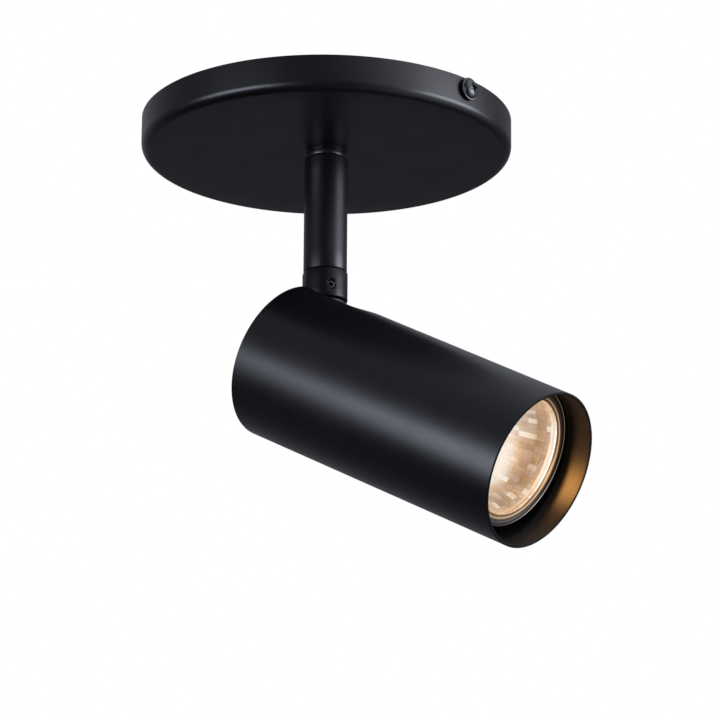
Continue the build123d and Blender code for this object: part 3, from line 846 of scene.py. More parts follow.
class Bench:
    """Steps at the modelling bench, each on one piece."""

    @staticmethod
    def clear() -> None:
        """Leaves edit mode and drops every selection."""
        if bpy.context.object and bpy.context.object.mode != "OBJECT":
            bpy.ops.object.mode_set(mode="OBJECT")
        bpy.ops.object.select_all(action="DESELECT")

    @staticmethod
    def pick(piece: bpy.types.Object) -> None:
        """Selects one piece alone.

        Args:
            piece: the piece.
        """
        Bench.clear()
        bpy.context.view_layer.objects.active = piece
        piece.select_set(True)

    @staticmethod
    def turned(name: str, outline: Sequence[Point], segments: int = 128,
               closed: bool = True) -> bpy.types.Object:
        """Turns an outline about Z, ring by ring, by extruding and scaling a circle.

        Args:
            name: the piece's name.
            outline: its points, as radius and height in mm.
            segments: sides of each ring.
            closed: whether the last point joins the first.

        Returns:
            The piece, in metres, its axis on Z.
        """
        Bench.clear()
        points = [(max(r, 1e-4) * MM, z * MM) for r, z in outline]
        if closed:
            points.append(points[0])
        bpy.ops.mesh.primitive_circle_add(vertices=segments, radius=points[0][0], fill_type="NOTHING")
        piece = bpy.context.active_object
        piece.name = piece.data.name = name
        bpy.ops.object.mode_set(mode="EDIT")
        bpy.ops.mesh.select_all(action="SELECT")
        bpy.ops.transform.translate(value=(0, 0, points[0][1]))
        for (radius, height), (next_radius, next_height) in pairwise(points):
            move = {"value": (0, 0, next_height - height)}
            bpy.ops.mesh.extrude_region_move(TRANSFORM_OT_translate=move)
            scale = next_radius / radius
            bpy.ops.transform.resize(value=(scale, scale, 1), center_override=(0, 0, next_height))
        bpy.ops.mesh.select_all(action="SELECT")
        bpy.ops.mesh.remove_doubles(threshold=2e-6)
        bpy.ops.mesh.normals_make_consistent(inside=False)
        bpy.ops.object.mode_set(mode="OBJECT")
        return piece

    @staticmethod
    def bar(radius: float, low: float, high: float, sides: int = 64,
            frame: Matrix | None = None) -> bpy.types.Object:
        """A round or sided bar, used as a cutter or joined to a piece.

        Args:
            radius: its radius in mm.
            low: its lower end.
            high: its upper end.
            sides: how many sides.
            frame: where it goes.

        Returns:
            The bar.
        """
        Bench.clear()
        bpy.ops.mesh.primitive_cylinder_add(vertices=sides, radius=radius * MM, depth=(high - low) * MM,
                                            location=(0, 0, (low + high) / 2 * MM))
        return Bench.set_down(bpy.context.active_object, frame)

    @staticmethod
    def slab(size: Sequence[float], middle: Sequence[float], frame: Matrix | None = None
             ) -> bpy.types.Object:
        """A square block, used as a cutter.

        Args:
            size: its three sizes in mm.
            middle: its middle.
            frame: where it goes.

        Returns:
            The block.
        """
        Bench.clear()
        bpy.ops.mesh.primitive_cube_add(size=1, location=[c * MM for c in middle])
        made = bpy.context.active_object
        made.scale = [s * MM for s in size]
        return Bench.set_down(made, frame)

    @staticmethod
    def set_down(piece: bpy.types.Object, frame: Matrix | None = None) -> bpy.types.Object:
        """Puts a piece in its place and moves that place into its mesh.

        Args:
            piece: the piece.
            frame: its place, or None to leave it where it is.

        Returns:
            The piece.
        """
        Bench.pick(piece)
        if frame is not None:
            piece.matrix_world = frame @ piece.matrix_world
        bpy.context.view_layer.update()
        bpy.ops.object.transform_apply(location=True, rotation=True, scale=True)
        return piece

    @staticmethod
    def combine(piece: bpy.types.Object, other: bpy.types.Object, operation: str = "DIFFERENCE"
                ) -> bpy.types.Object:
        """Cuts one piece with another, or joins them into one skin.

        Args:
            piece: what stays.
            other: the cutter, which is used up.
            operation: DIFFERENCE, UNION or INTERSECT.

        Returns:
            The piece.
        """
        Bench.pick(piece)
        cut = piece.modifiers.new("cut", "BOOLEAN")
        cut.operation, cut.solver, cut.object = operation, "EXACT", other
        bpy.ops.object.modifier_apply(modifier=cut.name)
        bpy.data.objects.remove(other)
        return piece

    @staticmethod
    def soften(piece: bpy.types.Object, width: float, segments: int = 2, angle: float = 40.0
               ) -> bpy.types.Object:
        """Rounds the sharp edges.

        Args:
            piece: the piece.
            width: the rounding's width in mm.
            segments: its steps.
            angle: edges sharper than this, in degrees.

        Returns:
            The piece.
        """
        Bench.pick(piece)
        edge = piece.modifiers.new("edge", "BEVEL")
        edge.width, edge.segments = width * MM, segments
        edge.limit_method, edge.angle_limit = "ANGLE", math.radians(angle)
        edge.use_clamp_overlap = True
        bpy.ops.object.modifier_apply(modifier=edge.name)
        return piece

    @staticmethod
    def smooth(piece: bpy.types.Object, angle: float = 32.0) -> bpy.types.Object:
        """Shades a piece smooth but for its sharp edges.

        Args:
            piece: the piece.
            angle: what counts as sharp, in degrees.

        Returns:
            The piece.
        """
        Bench.pick(piece)
        bpy.ops.object.shade_smooth_by_angle(angle=math.radians(angle))
        return piece

    @staticmethod
    def copy(piece: bpy.types.Object, name: str, frame: Matrix) -> bpy.types.Object:
        """A copy with its own mesh, in its own place.

        Args:
            piece: the master, about its own origin.
            name: the copy's name.
            frame: where the copy goes.

        Returns:
            The copy.
        """
        made = bpy.data.objects.new(name, piece.data.copy())
        made.data.name = name
        bpy.context.scene.collection.objects.link(made)
        return Bench.set_down(made, frame)


def finish_piece(piece: bpy.types.Object, body: Body, material: bpy.types.Material,
                 stands_for: Iterable[str] = ()) -> bpy.types.Object:
    """Dresses a finished piece and hangs it on its body.

    Args:
        piece: the piece.
        body: the body that it moves with.
        material: its finish.
        stands_for: the frame's nodes that it replaces.

    Returns:
        The piece.
    """
    if not piece.data.materials:
        piece.data.materials.append(material)
    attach(piece, body.value)
    names = list(stands_for)
    if names:
        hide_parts(*names)
    log.info("%s rides on %s, %d faces", piece.name, body.value, len(piece.data.polygons))
    return piece


# --------------------------------------------------------------------------- the light


@dataclass
class Finishes:
    """Every finish of the light, each made once."""

    lamp: "Lamp"

    def __post_init__(self) -> None:
        """Makes the materials."""
        self.paint = SatinPaint().material()
        # a copy of the paint with less reflection, for painted shade on the stem under the canopy
        self.shaded_stem_paint = SatinPaint("satin_black_stem_painted_shade", specular=0.42).material()
        # a copy of the paint with half the reflection, for painted shade on the socket and key under the tube
        self.shaded_socket_paint = SatinPaint("satin_black_socket_painted_shade", specular=0.25).material()
        # a copy with less reflection on the tube's inner wall, for painted shade inside the tube
        self.shaded_inner_paint = SatinPaint("satin_black_inside_painted_shade", roughness=0.33, specular=0.2).material()
        # a rougher copy with little reflection on the tube's mouth edge and lips, so that they read darker
        self.mouth_paint = SatinPaint("dull_mouth_edge_paint", roughness=0.6, specular=0.12).material()
        self.black_steel = PlatedMetal("blackened_steel", (0.07, 0.07, 0.074), 0.34, metallic=0.85).material()
        self.zinc = PlatedMetal("zinc_plate", (0.62, 0.63, 0.65), 0.28).material()
        self.spring = PlatedMetal("spring_steel", (0.33, 0.33, 0.35), 0.32).material()
        self.brass = PlatedMetal("brass", (0.76, 0.57, 0.28), 0.26).material()
        self.nickel = PlatedMetal("nickel", (0.72, 0.70, 0.66), 0.2, stain=0.1).material()
        self.nylon = Moulded("white_nylon", (0.80, 0.80, 0.77), 0.42, 0.8, 0.01).material()
        self.fibre = Moulded("red_fibre", (0.30, 0.09, 0.05), 0.6, 0.3, 0.03).material()
        self.ceramic = Moulded("ceramic", (0.82, 0.80, 0.74), 0.55, 0.4, 0.03).material()
        lamp = self.lamp
        facets = (lamp.sectors, lamp.facet_rings)
        self.mirror = FacetMirror(lamp.frame, *facets, lamp.floor, lamp.seat).material()
        self.painted_filament_reflection = PaintedFilamentReflection(lamp.frame, lamp.floor, lamp.seat).material()
        self.rim_glass = RimGlass(lamp.frame, lamp.glass_radius, lamp.radius).material()
        self.cement = GlassCement(lamp.frame, lamp.cement_radius, lamp.glass_radius).material()
        self.clear_glass = ClearGlass().material()
        self.quartz = LitQuartz().material()
        self.filament = Glow("filament_glow", (1.0, 0.55, 0.22), 900.0, 0.4).material()


@dataclass
class Canopy:
    """The pressed cup against the ceiling, and its two side screws."""

    radius: float = 65.0
    height: float = 12.4
    wall: float = 1.2
    edge_radius: float = 3.0
    centre_hole: float = 5.15
    screw_angle: float = -9.9
    screw_drop: float = 4.1
    screw_standoff: float = 0.9
    flange_radius: float = 4.0
    flange: float = 0.5
    screw_hole: float = 2.2
    head_radius: float = 3.4
    head_height: float = 2.2
    thread_radius: float = 1.95
    thread_length: float = 5.6
    thread_pitch: float = 0.7
    thread_depth: float = 0.3
    cross_width: float = 0.816
    cross_depth: float = 1.364
    near_turn: float = 24.0

    def shell(self) -> bpy.types.Object:
        """Models the cup.

        Returns:
            The cup.
        """
        face, lip = -self.height, 0.15
        inner_edge = self.edge_radius - self.wall
        bend_centre = (self.radius - self.edge_radius, face + self.edge_radius)
        rings = [self.radius * k for k in (0.78, 0.55, 0.35, 0.2)]
        outline = [(self.radius - self.wall, 0), (self.radius - lip, 0), (self.radius, -lip)]
        outline += arc(bend_centre, self.edge_radius, 0, -90, 12)
        outline += [(r, face) for r in rings] + [(self.centre_hole, face)]
        outline += [(self.centre_hole, face + self.wall)]
        outline += arc(bend_centre, inner_edge, -90, 0, 6)
        cup = Bench.turned("canopy_shell", outline, 256)
        for side in (0, 180):
            cutter = Bench.bar(self.screw_hole, -3 * self.wall, self.wall, 32, self.screw_place(side))
            Bench.combine(cup, cutter)
        return Bench.smooth(cup)

    def screw_place(self, side: float, standoff: float = 0.0) -> Matrix:
        """A place on a screw's axis.

        Args:
            side: 0 for the near screw, 180 for the far one.
            standoff: how far from the wall, in mm.

        Returns:
            A frame whose Z points out of the wall.
        """
        turn = Matrix.Rotation(math.radians(self.screw_angle + side), 4, "Z")
        out = Matrix.Translation(((self.radius + standoff) * MM, 0, -self.screw_drop * MM))
        return turn @ out @ Matrix.Rotation(math.pi / 2, 4, "Y")

    def screw(self) -> bpy.types.Object:
        """Models one cross-head screw about its own axis.

        Returns:
            The screw.
        """
        head, crown = self.head_radius, self.head_height
        rim, lead, edge = 0.35, 0.3, 0.1
        end, pitch, root = -self.thread_length, self.thread_pitch, self.thread_radius - self.thread_depth
        outline = [(0, end), (root - edge, end)]
        for i in range(int((self.thread_length - 2 * lead) / pitch)):
            foot = end + lead + i * pitch
            outline += [(self.thread_radius, foot + pitch * 0.25), (root, foot + pitch * 0.75)]
        brim, thick = self.flange_radius, self.flange
        outline += [(self.thread_radius - edge, 0), (brim - rim, 0), (brim, edge), (brim, thick - edge)]
        outline += [(brim - edge, thick), (head, thick)]
        bulge = [(head * math.cos(t), crown * (0.3 + 0.7 * math.sin(t))) for t in
                 (math.radians(a) for a in (4, 14, 25, 40, 55, 70, 80))]
        outline += bulge + [(0, crown)]
        made = Bench.turned("screw_master", outline, 64, closed=False)
        depth = self.cross_depth
        for turn in (0, 90):
            arm = Bench.slab((head * 1.06, self.cross_width, depth), (0, 0, crown - depth / 2 + 0.01),
                             Matrix.Rotation(math.radians(turn), 4, "Z"))
            Bench.combine(made, arm)
        core = Bench.turned("core", [(0, crown - depth * 1.15), (head * 0.2, crown - depth),
                                     (head * 0.3, crown + 0.1), (0, crown + 0.1)], 24, closed=False)
        Bench.combine(made, core)
        Bench.soften(made, 0.07, 2, 35)
        return Bench.smooth(made, 30)

    def build(self, finishes: Finishes) -> None:
        """Builds and dresses the canopy.

        Args:
            finishes: the light's finishes.
        """
        finish_piece(self.shell(), Body.MOUNT, finishes.paint, ["canopy_cover"])
        master = self.screw()
        twist = Matrix.Rotation(math.radians(self.near_turn), 4, "Z")
        near = Bench.copy(master, "canopy_screw_near", self.screw_place(0, self.screw_standoff) @ twist)
        far = Bench.copy(master, "canopy_screw_far", self.screw_place(180, self.screw_standoff))
        bpy.data.objects.remove(master)
        finish_piece(near, Body.MOUNT, finishes.black_steel, ["canopy_screws"])
        finish_piece(far, Body.MOUNT, finishes.black_steel, ["canopy_screws"])


@dataclass
class Stem:
    """The upright stem, its washer, its key and the socket keyed to it."""

    radius: float = 7.6
    top: float = -13.8
    foot: float = -56.2
    bore: float = 5.6
    nipple_bore: float = 5.05
    nipple_reach: float = 12.0
    top_chamfer: float = 0.8
    foot_chamfer: float = 0.4
    washer_radius: float = 6.7
    canopy_face: float = -12.4
    key_angle: float = -41.3
    tongue: float = 5.3
    spigot_length: float = 8.0
    socket_radius: float = 7.9
    socket_foot: float = -66.9
    socket_floor: float = 1.5
    socket_edge: float = 0.4
    spigot_radius: float = 5.0
    spigot_foot: float = -77.4
    groove_radius: float = 4.2
    groove: Point = (-73.7, -71.3)
    wire_bore: float = 2.1
    grub_z: float = -62.55
    grub_radius: float = 1.5
    grub_recess: float = 0.6
    grub_key: float = 0.87

    def tube(self) -> bpy.types.Object:
        """Models the stem.

        Returns:
            The stem.
        """
        step = self.top - self.nipple_reach
        middles = [self.foot + (self.top - self.foot) * k / 6 for k in range(1, 6)]
        outline = [(self.bore, self.foot), (self.radius - self.foot_chamfer, self.foot)]
        outline += [(self.radius, self.foot + self.foot_chamfer)]
        outline += [(self.radius, z) for z in middles]
        outline += [(self.radius, self.top - self.top_chamfer), (self.radius - self.top_chamfer, self.top)]
        outline += [(self.nipple_bore, self.top), (self.nipple_bore, step), (self.bore, step)]
        piece = Bench.turned("stem", outline, 160)
        Bench.soften(piece, 0.12, 2, 30)
        return Bench.smooth(piece)

    def washer(self) -> bpy.types.Object:
        """Models the washer between canopy and stem.

        Returns:
            The washer.
        """
        bore = self.nipple_bore + 2 * SLIP
        outline = [(bore, self.top), (self.washer_radius, self.top)]
        outline += [(self.washer_radius, self.canopy_face), (bore, self.canopy_face)]
        piece = Bench.turned("stem_spacer", outline, 96)
        Bench.soften(piece, 0.15, 2)
        return Bench.smooth(piece)

    def key(self) -> bpy.types.Object:
        """Models the plug and its tongue.

        Returns:
            The key.
        """
        end = self.socket_foot + self.socket_floor + SLIP
        tongue = Bench.bar(self.radius, end, self.foot, 160)
        keep = Bench.slab((self.tongue, 4 * self.radius, THROUGH), (0, 0, (end + self.foot) / 2))
        Bench.combine(tongue, keep, "INTERSECT")
        plug = Bench.bar(self.bore - SLIP, self.foot - 0.5, self.foot + self.spigot_length, 96)
        Bench.combine(tongue, plug, "UNION")
        Bench.combine(tongue, Bench.bar(self.wire_bore, end - 1, self.foot + self.spigot_length + 1, 48))
        tongue.name = tongue.data.name = "stem_tongue"
        Bench.set_down(tongue, Matrix.Rotation(math.radians(self.key_angle), 4, "Z"))
        Bench.soften(tongue, 0.12, 2)
        return Bench.smooth(tongue)

    def socket(self) -> bpy.types.Object:
        """Models the two-eared socket and its spigot.

        Returns:
            The socket.
        """
        top = self.foot - 0.1
        edge = self.socket_edge
        outline = [(self.wire_bore, self.spigot_foot), (self.spigot_radius, self.spigot_foot)]
        outline += [(self.spigot_radius, self.groove[0]), (self.groove_radius, self.groove[0])]
        outline += [(self.groove_radius, self.groove[1]), (self.spigot_radius, self.groove[1])]
        outline += [(self.spigot_radius, self.socket_foot), (self.socket_radius - edge, self.socket_foot)]
        outline += [(self.socket_radius, self.socket_foot + edge)]
        outline += [(self.socket_radius, self.socket_foot + 3.5), (self.socket_radius, self.socket_foot + 7)]
        outline += [(self.socket_radius, top - edge), (self.socket_radius - edge, top), (self.wire_bore, top)]
        piece = Bench.turned("swivel_socket", outline, 160)
        slot_middle = self.socket_foot + self.socket_floor + THROUGH / 2
        slot = Bench.slab((self.tongue + 2 * SLIP, 4 * self.socket_radius, THROUGH), (0, 0, slot_middle))
        Bench.combine(piece, slot)
        hole = Bench.bar(self.grub_radius + SLIP, 0, 2 * self.socket_radius, 40, self.grub_frame(0, False))
        Bench.combine(piece, hole)
        flare = [(0, -0.5), (self.grub_radius, -0.5), (self.grub_radius + 0.55, 0.1), (0, 0.1)]
        mouth = Bench.turned("mouth", flare, 40, closed=False)
        Bench.combine(piece, Bench.set_down(mouth, self.grub_frame(self.socket_radius, False)))
        Bench.set_down(piece, Matrix.Rotation(math.radians(self.key_angle), 4, "Z"))
        Bench.soften(piece, 0.1, 2)
        return Bench.smooth(piece)

    def grub_frame(self, reach: float, turned: bool = True) -> Matrix:
        """A frame on the grub screw's axis, its Z outwards.

        Args:
            reach: how far out, in mm.
            turned: whether it faces the way the socket is set.

        Returns:
            The frame.
        """
        turn = Matrix.Rotation(math.radians(self.key_angle if turned else 0), 4, "Z")
        out = Matrix.Translation((reach * MM, 0, self.grub_z * MM))
        return turn @ out @ Matrix.Rotation(math.pi / 2, 4, "Y")

    def grub(self) -> bpy.types.Object:
        """Models the grub screw with its six-sided key hole.

        Returns:
            The screw.
        """
        length = self.socket_radius - self.grub_recess - self.tongue / 2
        outline = [(0, -length), (self.grub_radius - 0.3, -length), (self.grub_radius, -length + 0.3)]
        outline += [(self.grub_radius, -0.25), (self.grub_radius - 0.25, 0), (0, 0)]
        piece = Bench.turned("ear_grub_screw", outline, 48, closed=False)
        Bench.combine(piece, Bench.bar(self.grub_key, -1.4, 0.5, 6))
        Bench.soften(piece, 0.05, 1)
        return Bench.set_down(Bench.smooth(piece), self.grub_frame(self.socket_radius - self.grub_recess))

    def build(self, finishes: Finishes) -> None:
        """Builds and dresses the stem and socket.

        Args:
            finishes: the light's finishes.
        """
        paint, steel = finishes.shaded_socket_paint, finishes.black_steel
        finish_piece(self.tube(), Body.MOUNT, finishes.shaded_stem_paint, ["stem_tube"])
        finish_piece(self.washer(), Body.MOUNT, steel, ["stem_washer"])
        # the key and socket take the paint's copy with painted shade
        finish_piece(self.key(), Body.MOUNT, paint, ["stem_key"])
        finish_piece(self.socket(), Body.MOUNT, paint, ["knuckle_socket"])
        finish_piece(self.grub(), Body.MOUNT, steel, ["knuckle_grub_screw"])


@dataclass
class Arm:
    """The arm that turns about the spigot and ends on the cross bolt."""

    pivot_z: float
    radius: float = 7.6
    top: float = -67.2
    edge: float = 0.4
    blade: float = 8.0
    blade_length: float = 11.3
    bore: float = 5.08
    bore_foot: float = -77.7
    wire_bore: float = 2.1
    bolt_bore: float = 2.53
    bush_z: float = -81.3
    bush_bore: float = 3.2
    screw_z: float = -72.5
    screw_bore: float = 2.05

    def arm(self) -> bpy.types.Object:
        """Models the arm.

        Returns:
            The arm.
        """
        foot = self.pivot_z - self.radius
        outline = [(0, foot), (self.radius, foot), (self.radius, -90), (self.radius, -80)]
        outline += [(self.radius, self.top - self.edge), (self.radius - self.edge, self.top), (0, self.top)]
        piece = Bench.turned("swivel_arm_dressed", outline, 160, closed=False)
        shoulder = self.pivot_z + self.blade_length
        cheek = 10.0
        for side in (-1, 1):
            size = (4 * self.radius, cheek, THROUGH)
            middle = (0, side * (self.blade + cheek) / 2, shoulder - THROUGH / 2)
            Bench.combine(piece, Bench.slab(size, middle))
        across = Matrix.Translation((0, 0, self.pivot_z * MM)) @ Matrix.Rotation(math.pi / 2, 4, "X")
        half = THROUGH / 2
        round_foot = Bench.bar(self.radius, -half, half, 96, across)
        block = Bench.slab((4 * self.radius, THROUGH, self.radius * 2), (0, 0, self.pivot_z - self.radius))
        Bench.combine(block, round_foot)
        Bench.combine(piece, block)
        Bench.combine(piece, Bench.bar(self.bore, self.bore_foot, self.top + 1, 96))
        Bench.combine(piece, Bench.bar(self.wire_bore, self.bush_z, self.bore_foot + 1, 48))
        Bench.combine(piece, Bench.bar(self.bolt_bore, -half, half, 64, across))
        for z, radius, turn in ((self.bush_z, self.bush_bore, 0), (self.screw_z, self.screw_bore, 180)):
            side = Matrix.Rotation(math.radians(turn), 4, "Z") @ Matrix.Translation((0, 0, z * MM))
            side = side @ Matrix.Rotation(math.pi / 2, 4, "Y")
            Bench.combine(piece, Bench.bar(radius, 0, 2 * self.radius, 48, side))
        Bench.soften(piece, 0.12, 2)
        return Bench.smooth(piece)

    def build(self, finishes: Finishes) -> None:
        """Builds and dresses the arm.

        Args:
            finishes: the light's finishes.
        """
        finish_piece(self.arm(), Body.ARM, finishes.paint, ["swivel_arm"])


@dataclass
class Housing:
    """The slotted tube and its notched rear cap, drawn along Z from the pivot, with -X upwards."""

    frame: Matrix
    radius: float = 27.5
    wall: float = 1.0
    rear: float = -18.3
    front: float = 97.0
    slot_half: float = 8.3
    slot_centre: float = 3.1
    cap_thickness: float = 1.2
    cap_rim: float = 6.0

    def slot_cutter(self, height: float) -> bpy.types.Object:
        """The slot's outline, from the axis upwards.

        Args:
            height: how far up it reaches, in mm.

        Returns:
            The cutter.
        """
        back = self.rear - 2
        length = self.slot_centre - back
        straight = Bench.slab((height, 2 * self.slot_half, length), (-height / 2, 0, back + length / 2))
        turn = Matrix.Translation((0, 0, self.slot_centre * MM)) @ Matrix.Rotation(-math.pi / 2, 4, "Y")
        end = Bench.bar(self.slot_half, 0, height, 64, turn)
        return Bench.combine(straight, end, "UNION")

    def tube(self, finishes: Finishes) -> bpy.types.Object:
        """Models the tube.

        Args:
            finishes: the light's finishes.

        Returns:
            The tube.
        """
        inner, lip = self.radius - self.wall, 0.22
        span = self.front - self.rear
        rings = [self.rear + span * k / 14 for k in range(1, 14)]
        outline = [(inner, self.rear), (self.radius - lip, self.rear), (self.radius, self.rear + lip)]
        outline += [(self.radius, z) for z in rings]
        outline += [(self.radius, self.front - lip), (self.radius - lip, self.front)]
        outline += [(inner + lip, self.front), (inner, self.front - lip)]
        outline += [(inner, z) for z in reversed(rings)]
        piece = Bench.turned("lamp_tube", outline, 256)
        Bench.combine(piece, self.slot_cutter(self.radius + 2))
        Bench.soften(piece, 0.1, 2, 50)
        for finish in (finishes.paint, finishes.shaded_inner_paint, finishes.mouth_paint):
            piece.data.materials.append(finish)
        for face in piece.data.polygons:
            # the mouth's edge and lips take the darker dull copy
            if face.center.z > (self.front - lip) * MM:
                face.material_index = 2
            # the inner wall takes the paint's copy with painted shade
            elif math.hypot(*face.center[:2]) < (inner + SLIP) * MM:
                face.material_index = 1
        return Bench.set_down(Bench.smooth(piece), self.frame)

    def cap(self) -> bpy.types.Object:
        """Models the rear cap.

        Returns:
            The cap.
        """
        radius = self.radius - self.wall - SLIP
        back, bend = self.rear, 1.0
        inner = radius - self.cap_thickness
        outline = [(0, back)] + arc((radius - bend, back + bend), bend, -90, 0, 5)
        outline += [(radius, back + self.cap_rim), (inner, back + self.cap_rim)]
        outline += [(inner, back + self.cap_thickness), (0, back + self.cap_thickness)]
        piece = Bench.turned("tube_rear_cap", outline, 192, closed=False)
        reach = radius + 3
        Bench.combine(piece, Bench.slab((reach, 2 * self.slot_half, THROUGH), (-reach / 2, 0, back)))
        Bench.combine(piece, Bench.bar(self.slot_half, back - THROUGH / 2, back + THROUGH / 2, 96))
        Bench.soften(piece, 0.15, 2, 50)
        return Bench.set_down(Bench.smooth(piece), self.frame)

    def build(self, finishes: Finishes) -> None:
        """Builds and dresses the tube.

        Args:
            finishes: the light's finishes.
        """
        finish_piece(self.tube(finishes), Body.TUBE, finishes.paint, ["housing_tube"])
        finish_piece(self.cap(), Body.TUBE, finishes.paint, ["rear_cap"])


@dataclass
class Lamp:
    """The reflector lamp, drawn along Z from its rim, which is at height 0."""

    frame: Matrix
    radius: float = 24.75
    rim_height: float = 3.0
    glass_radius: float = 22.7
    glass_thickness: float = 1.6
    glass_recess: float = 0.1
    cement_radius: float = 20.65
    wall: float = 1.3
    neck_radius: float = 9.5
    neck_length: float = 7.5
    length: float = 46.9
    base_radius: float = 12.7
    base_height: float = 15.9
    throat: float = 5.1
    sectors: int = 60
    facet_rings: int = 9
    painted_reflection_spread: float = 60.0
    painted_reflection_reach: float = 0.56
    capsule_radius: float = 4.6
    capsule_length: float = 20.0

    @property
    def neck_front(self) -> float:
        """Height of the base's front edge."""
        return self.base_height - self.length

    @property
    def floor(self) -> float:
        """Height of the bowl's floor, inside."""
        return self.neck_front + 0.5 + self.wall

    @property
    def seat(self) -> float:
        """Height of the front glass's inner face."""
        return -self.glass_recess - self.glass_thickness

    def bowl_point(self, share: float, inside: bool) -> Point:
        """A point of the bowl's curve.

        Args:
            share: 0 at the throat, 1 at the rim.
            inside: the mirror side, or the outer side.

        Returns:
            Radius and height.
        """
        back = self.floor if inside else self.neck_front + 0.5
        front = self.seat if inside else -self.rim_height
        small = self.neck_radius - self.wall if inside else self.neck_radius
        large = self.glass_radius - self.wall if inside else self.radius - 0.6
        height = back + (front - back) * share
        return small + (large - small) * share ** 0.62, height

    def bowl(self, finishes: Finishes) -> bpy.types.Object:
        """Models the faceted bowl and its rim.

        Args:
            finishes: the light's finishes.

        Returns:
            The bowl.
        """
        seat, lip = self.seat, 0.18
        neck_back = self.neck_front - self.neck_length
        shares = [k / 14 for k in range(15)]
        outline = [(self.throat, neck_back), (self.neck_radius, neck_back)]
        outline += [self.bowl_point(s, False) for s in shares]
        outline += [(self.radius - lip, -self.rim_height), (self.radius, -self.rim_height + lip)]
        outline += [(self.radius, -lip), (self.radius - lip, 0), (self.glass_radius + SLIP, 0)]
        outline += [(self.glass_radius + SLIP, seat)]
        rings = [1 - k / self.facet_rings for k in range(self.facet_rings + 1)]
        outline += [self.bowl_point(s, True) for s in rings]
        outline += [(self.throat, self.floor)]
        piece = Bench.turned("lamp_bowl", outline, self.sectors * 2)
        piece.data.materials.append(finishes.rim_glass)
        piece.data.materials.append(finishes.mirror)
        piece.data.materials.append(finishes.painted_filament_reflection)
        self.facet(piece)
        return Bench.set_down(piece, self.frame)

    def facet(self, piece: bpy.types.Object) -> None:
        """Sorts the bowl's faces by finish and sets the facets a little out of true.

        Args:
            piece: the bowl, still about its own axis.
        """
        seat = self.seat * MM
        painted_reflection_front = (self.floor + (self.seat - self.floor) * self.painted_reflection_reach) * MM
        draw = random.Random(12)
        mesh = bmesh.new()
        mesh.from_mesh(piece.data)
        for face in mesh.faces:
            middle = face.calc_center_median()
            out = Vector((middle.x, middle.y, 0)).normalized()
            inside = face.normal.dot(out) < 0 and middle.z < seat - 1e-5 and middle.z > self.floor * MM - 1e-5
            ledge = face.normal.z > 0.5 and abs(middle.z - seat) < 1e-5
            face.material_index = 1 if inside or ledge else 0
            face.smooth = not inside
            # faces on the far side, towards the back, take the coating with the filament's painted reflection
            off_side = abs(math.degrees(math.atan2(middle.y, middle.x)) + 90)
            if inside and off_side < self.painted_reflection_spread and middle.z < painted_reflection_front:
                face.material_index = 2
        for vert in mesh.verts:
            if all(f.material_index > 0 for f in vert.link_faces):
                out = Vector((vert.co.x, vert.co.y, 0)).normalized()
                vert.co += out * draw.uniform(-0.03, 0.03) * MM
        mesh.to_mesh(piece.data)
        mesh.free()

    def glass(self, finishes: Finishes) -> bpy.types.Object:
        """Models the front glass with its ground edge and the ring of cement behind it.

        Args:
            finishes: the light's finishes.

        Returns:
            The glass.
        """
        front = -self.glass_recess
        back = front - self.glass_thickness
        outline = [(0, back), (self.glass_radius - 0.3, back), (self.glass_radius, back + 0.3)]
        outline += [(self.glass_radius, front - 0.1), (self.glass_radius - 0.1, front)]
        outline += [(self.cement_radius, front), (0, front)]
        piece = Bench.turned("lamp_window", outline, 144, closed=False)
        piece.data.materials.append(finishes.clear_glass)
        piece.data.materials.append(finishes.cement)
        for face in piece.data.polygons:
            face.material_index = int(math.hypot(*face.center[:2]) > self.cement_radius * MM)
        return Bench.set_down(Bench.smooth(piece), self.frame)

    def base(self) -> bpy.types.Object:
        """Models the ceramic base.

        Returns:
            The base.
        """
        back, front = -self.length, self.neck_front
        radius = self.base_radius
        seat = front - self.neck_length - SLIP
        bend, collar, waist, bore = 1.2, 5.0, radius - 0.5, self.neck_radius + SLIP
        outline = [(0, back)] + arc((radius - bend, back + bend), bend, -90, 0, 4)
        outline += [(radius, back + collar), (waist, back + collar + 0.4), (waist, front - 2)]
        outline += [(waist - 1.7, front), (bore, front), (bore, seat), (0, seat)]
        piece = Bench.turned("lamp_ceramic_base", outline, 128, closed=False)
        return Bench.set_down(Bench.smooth(piece), self.frame)

    def capsule(self) -> bpy.types.Object:
        """Models the quartz capsule, hollow, with its pip.

        Returns:
            The capsule.
        """
        back = self.neck_front - self.neck_length
        front = back + self.capsule_length
        radius, wall, bevel = self.capsule_radius, 0.8, 1.0
        outline = [(0, back), (radius - bevel, back), (radius, back + bevel)]
        outline += arc((0, front - radius), radius, 0, 78, 10)
        outline += [(0.5, front - 0.05), (0.35, front + 0.5), (0, front + 0.7)]
        piece = Bench.turned("quartz_capsule", outline, 64, closed=False)
        hollow = [(0, back + 6), (radius - wall, back + 6)]
        hollow += arc((0, front - radius), radius - wall, 0, 90, 10)
        Bench.combine(piece, Bench.turned("hollow", hollow, 64, closed=False))
        return Bench.set_down(Bench.smooth(piece), self.frame)

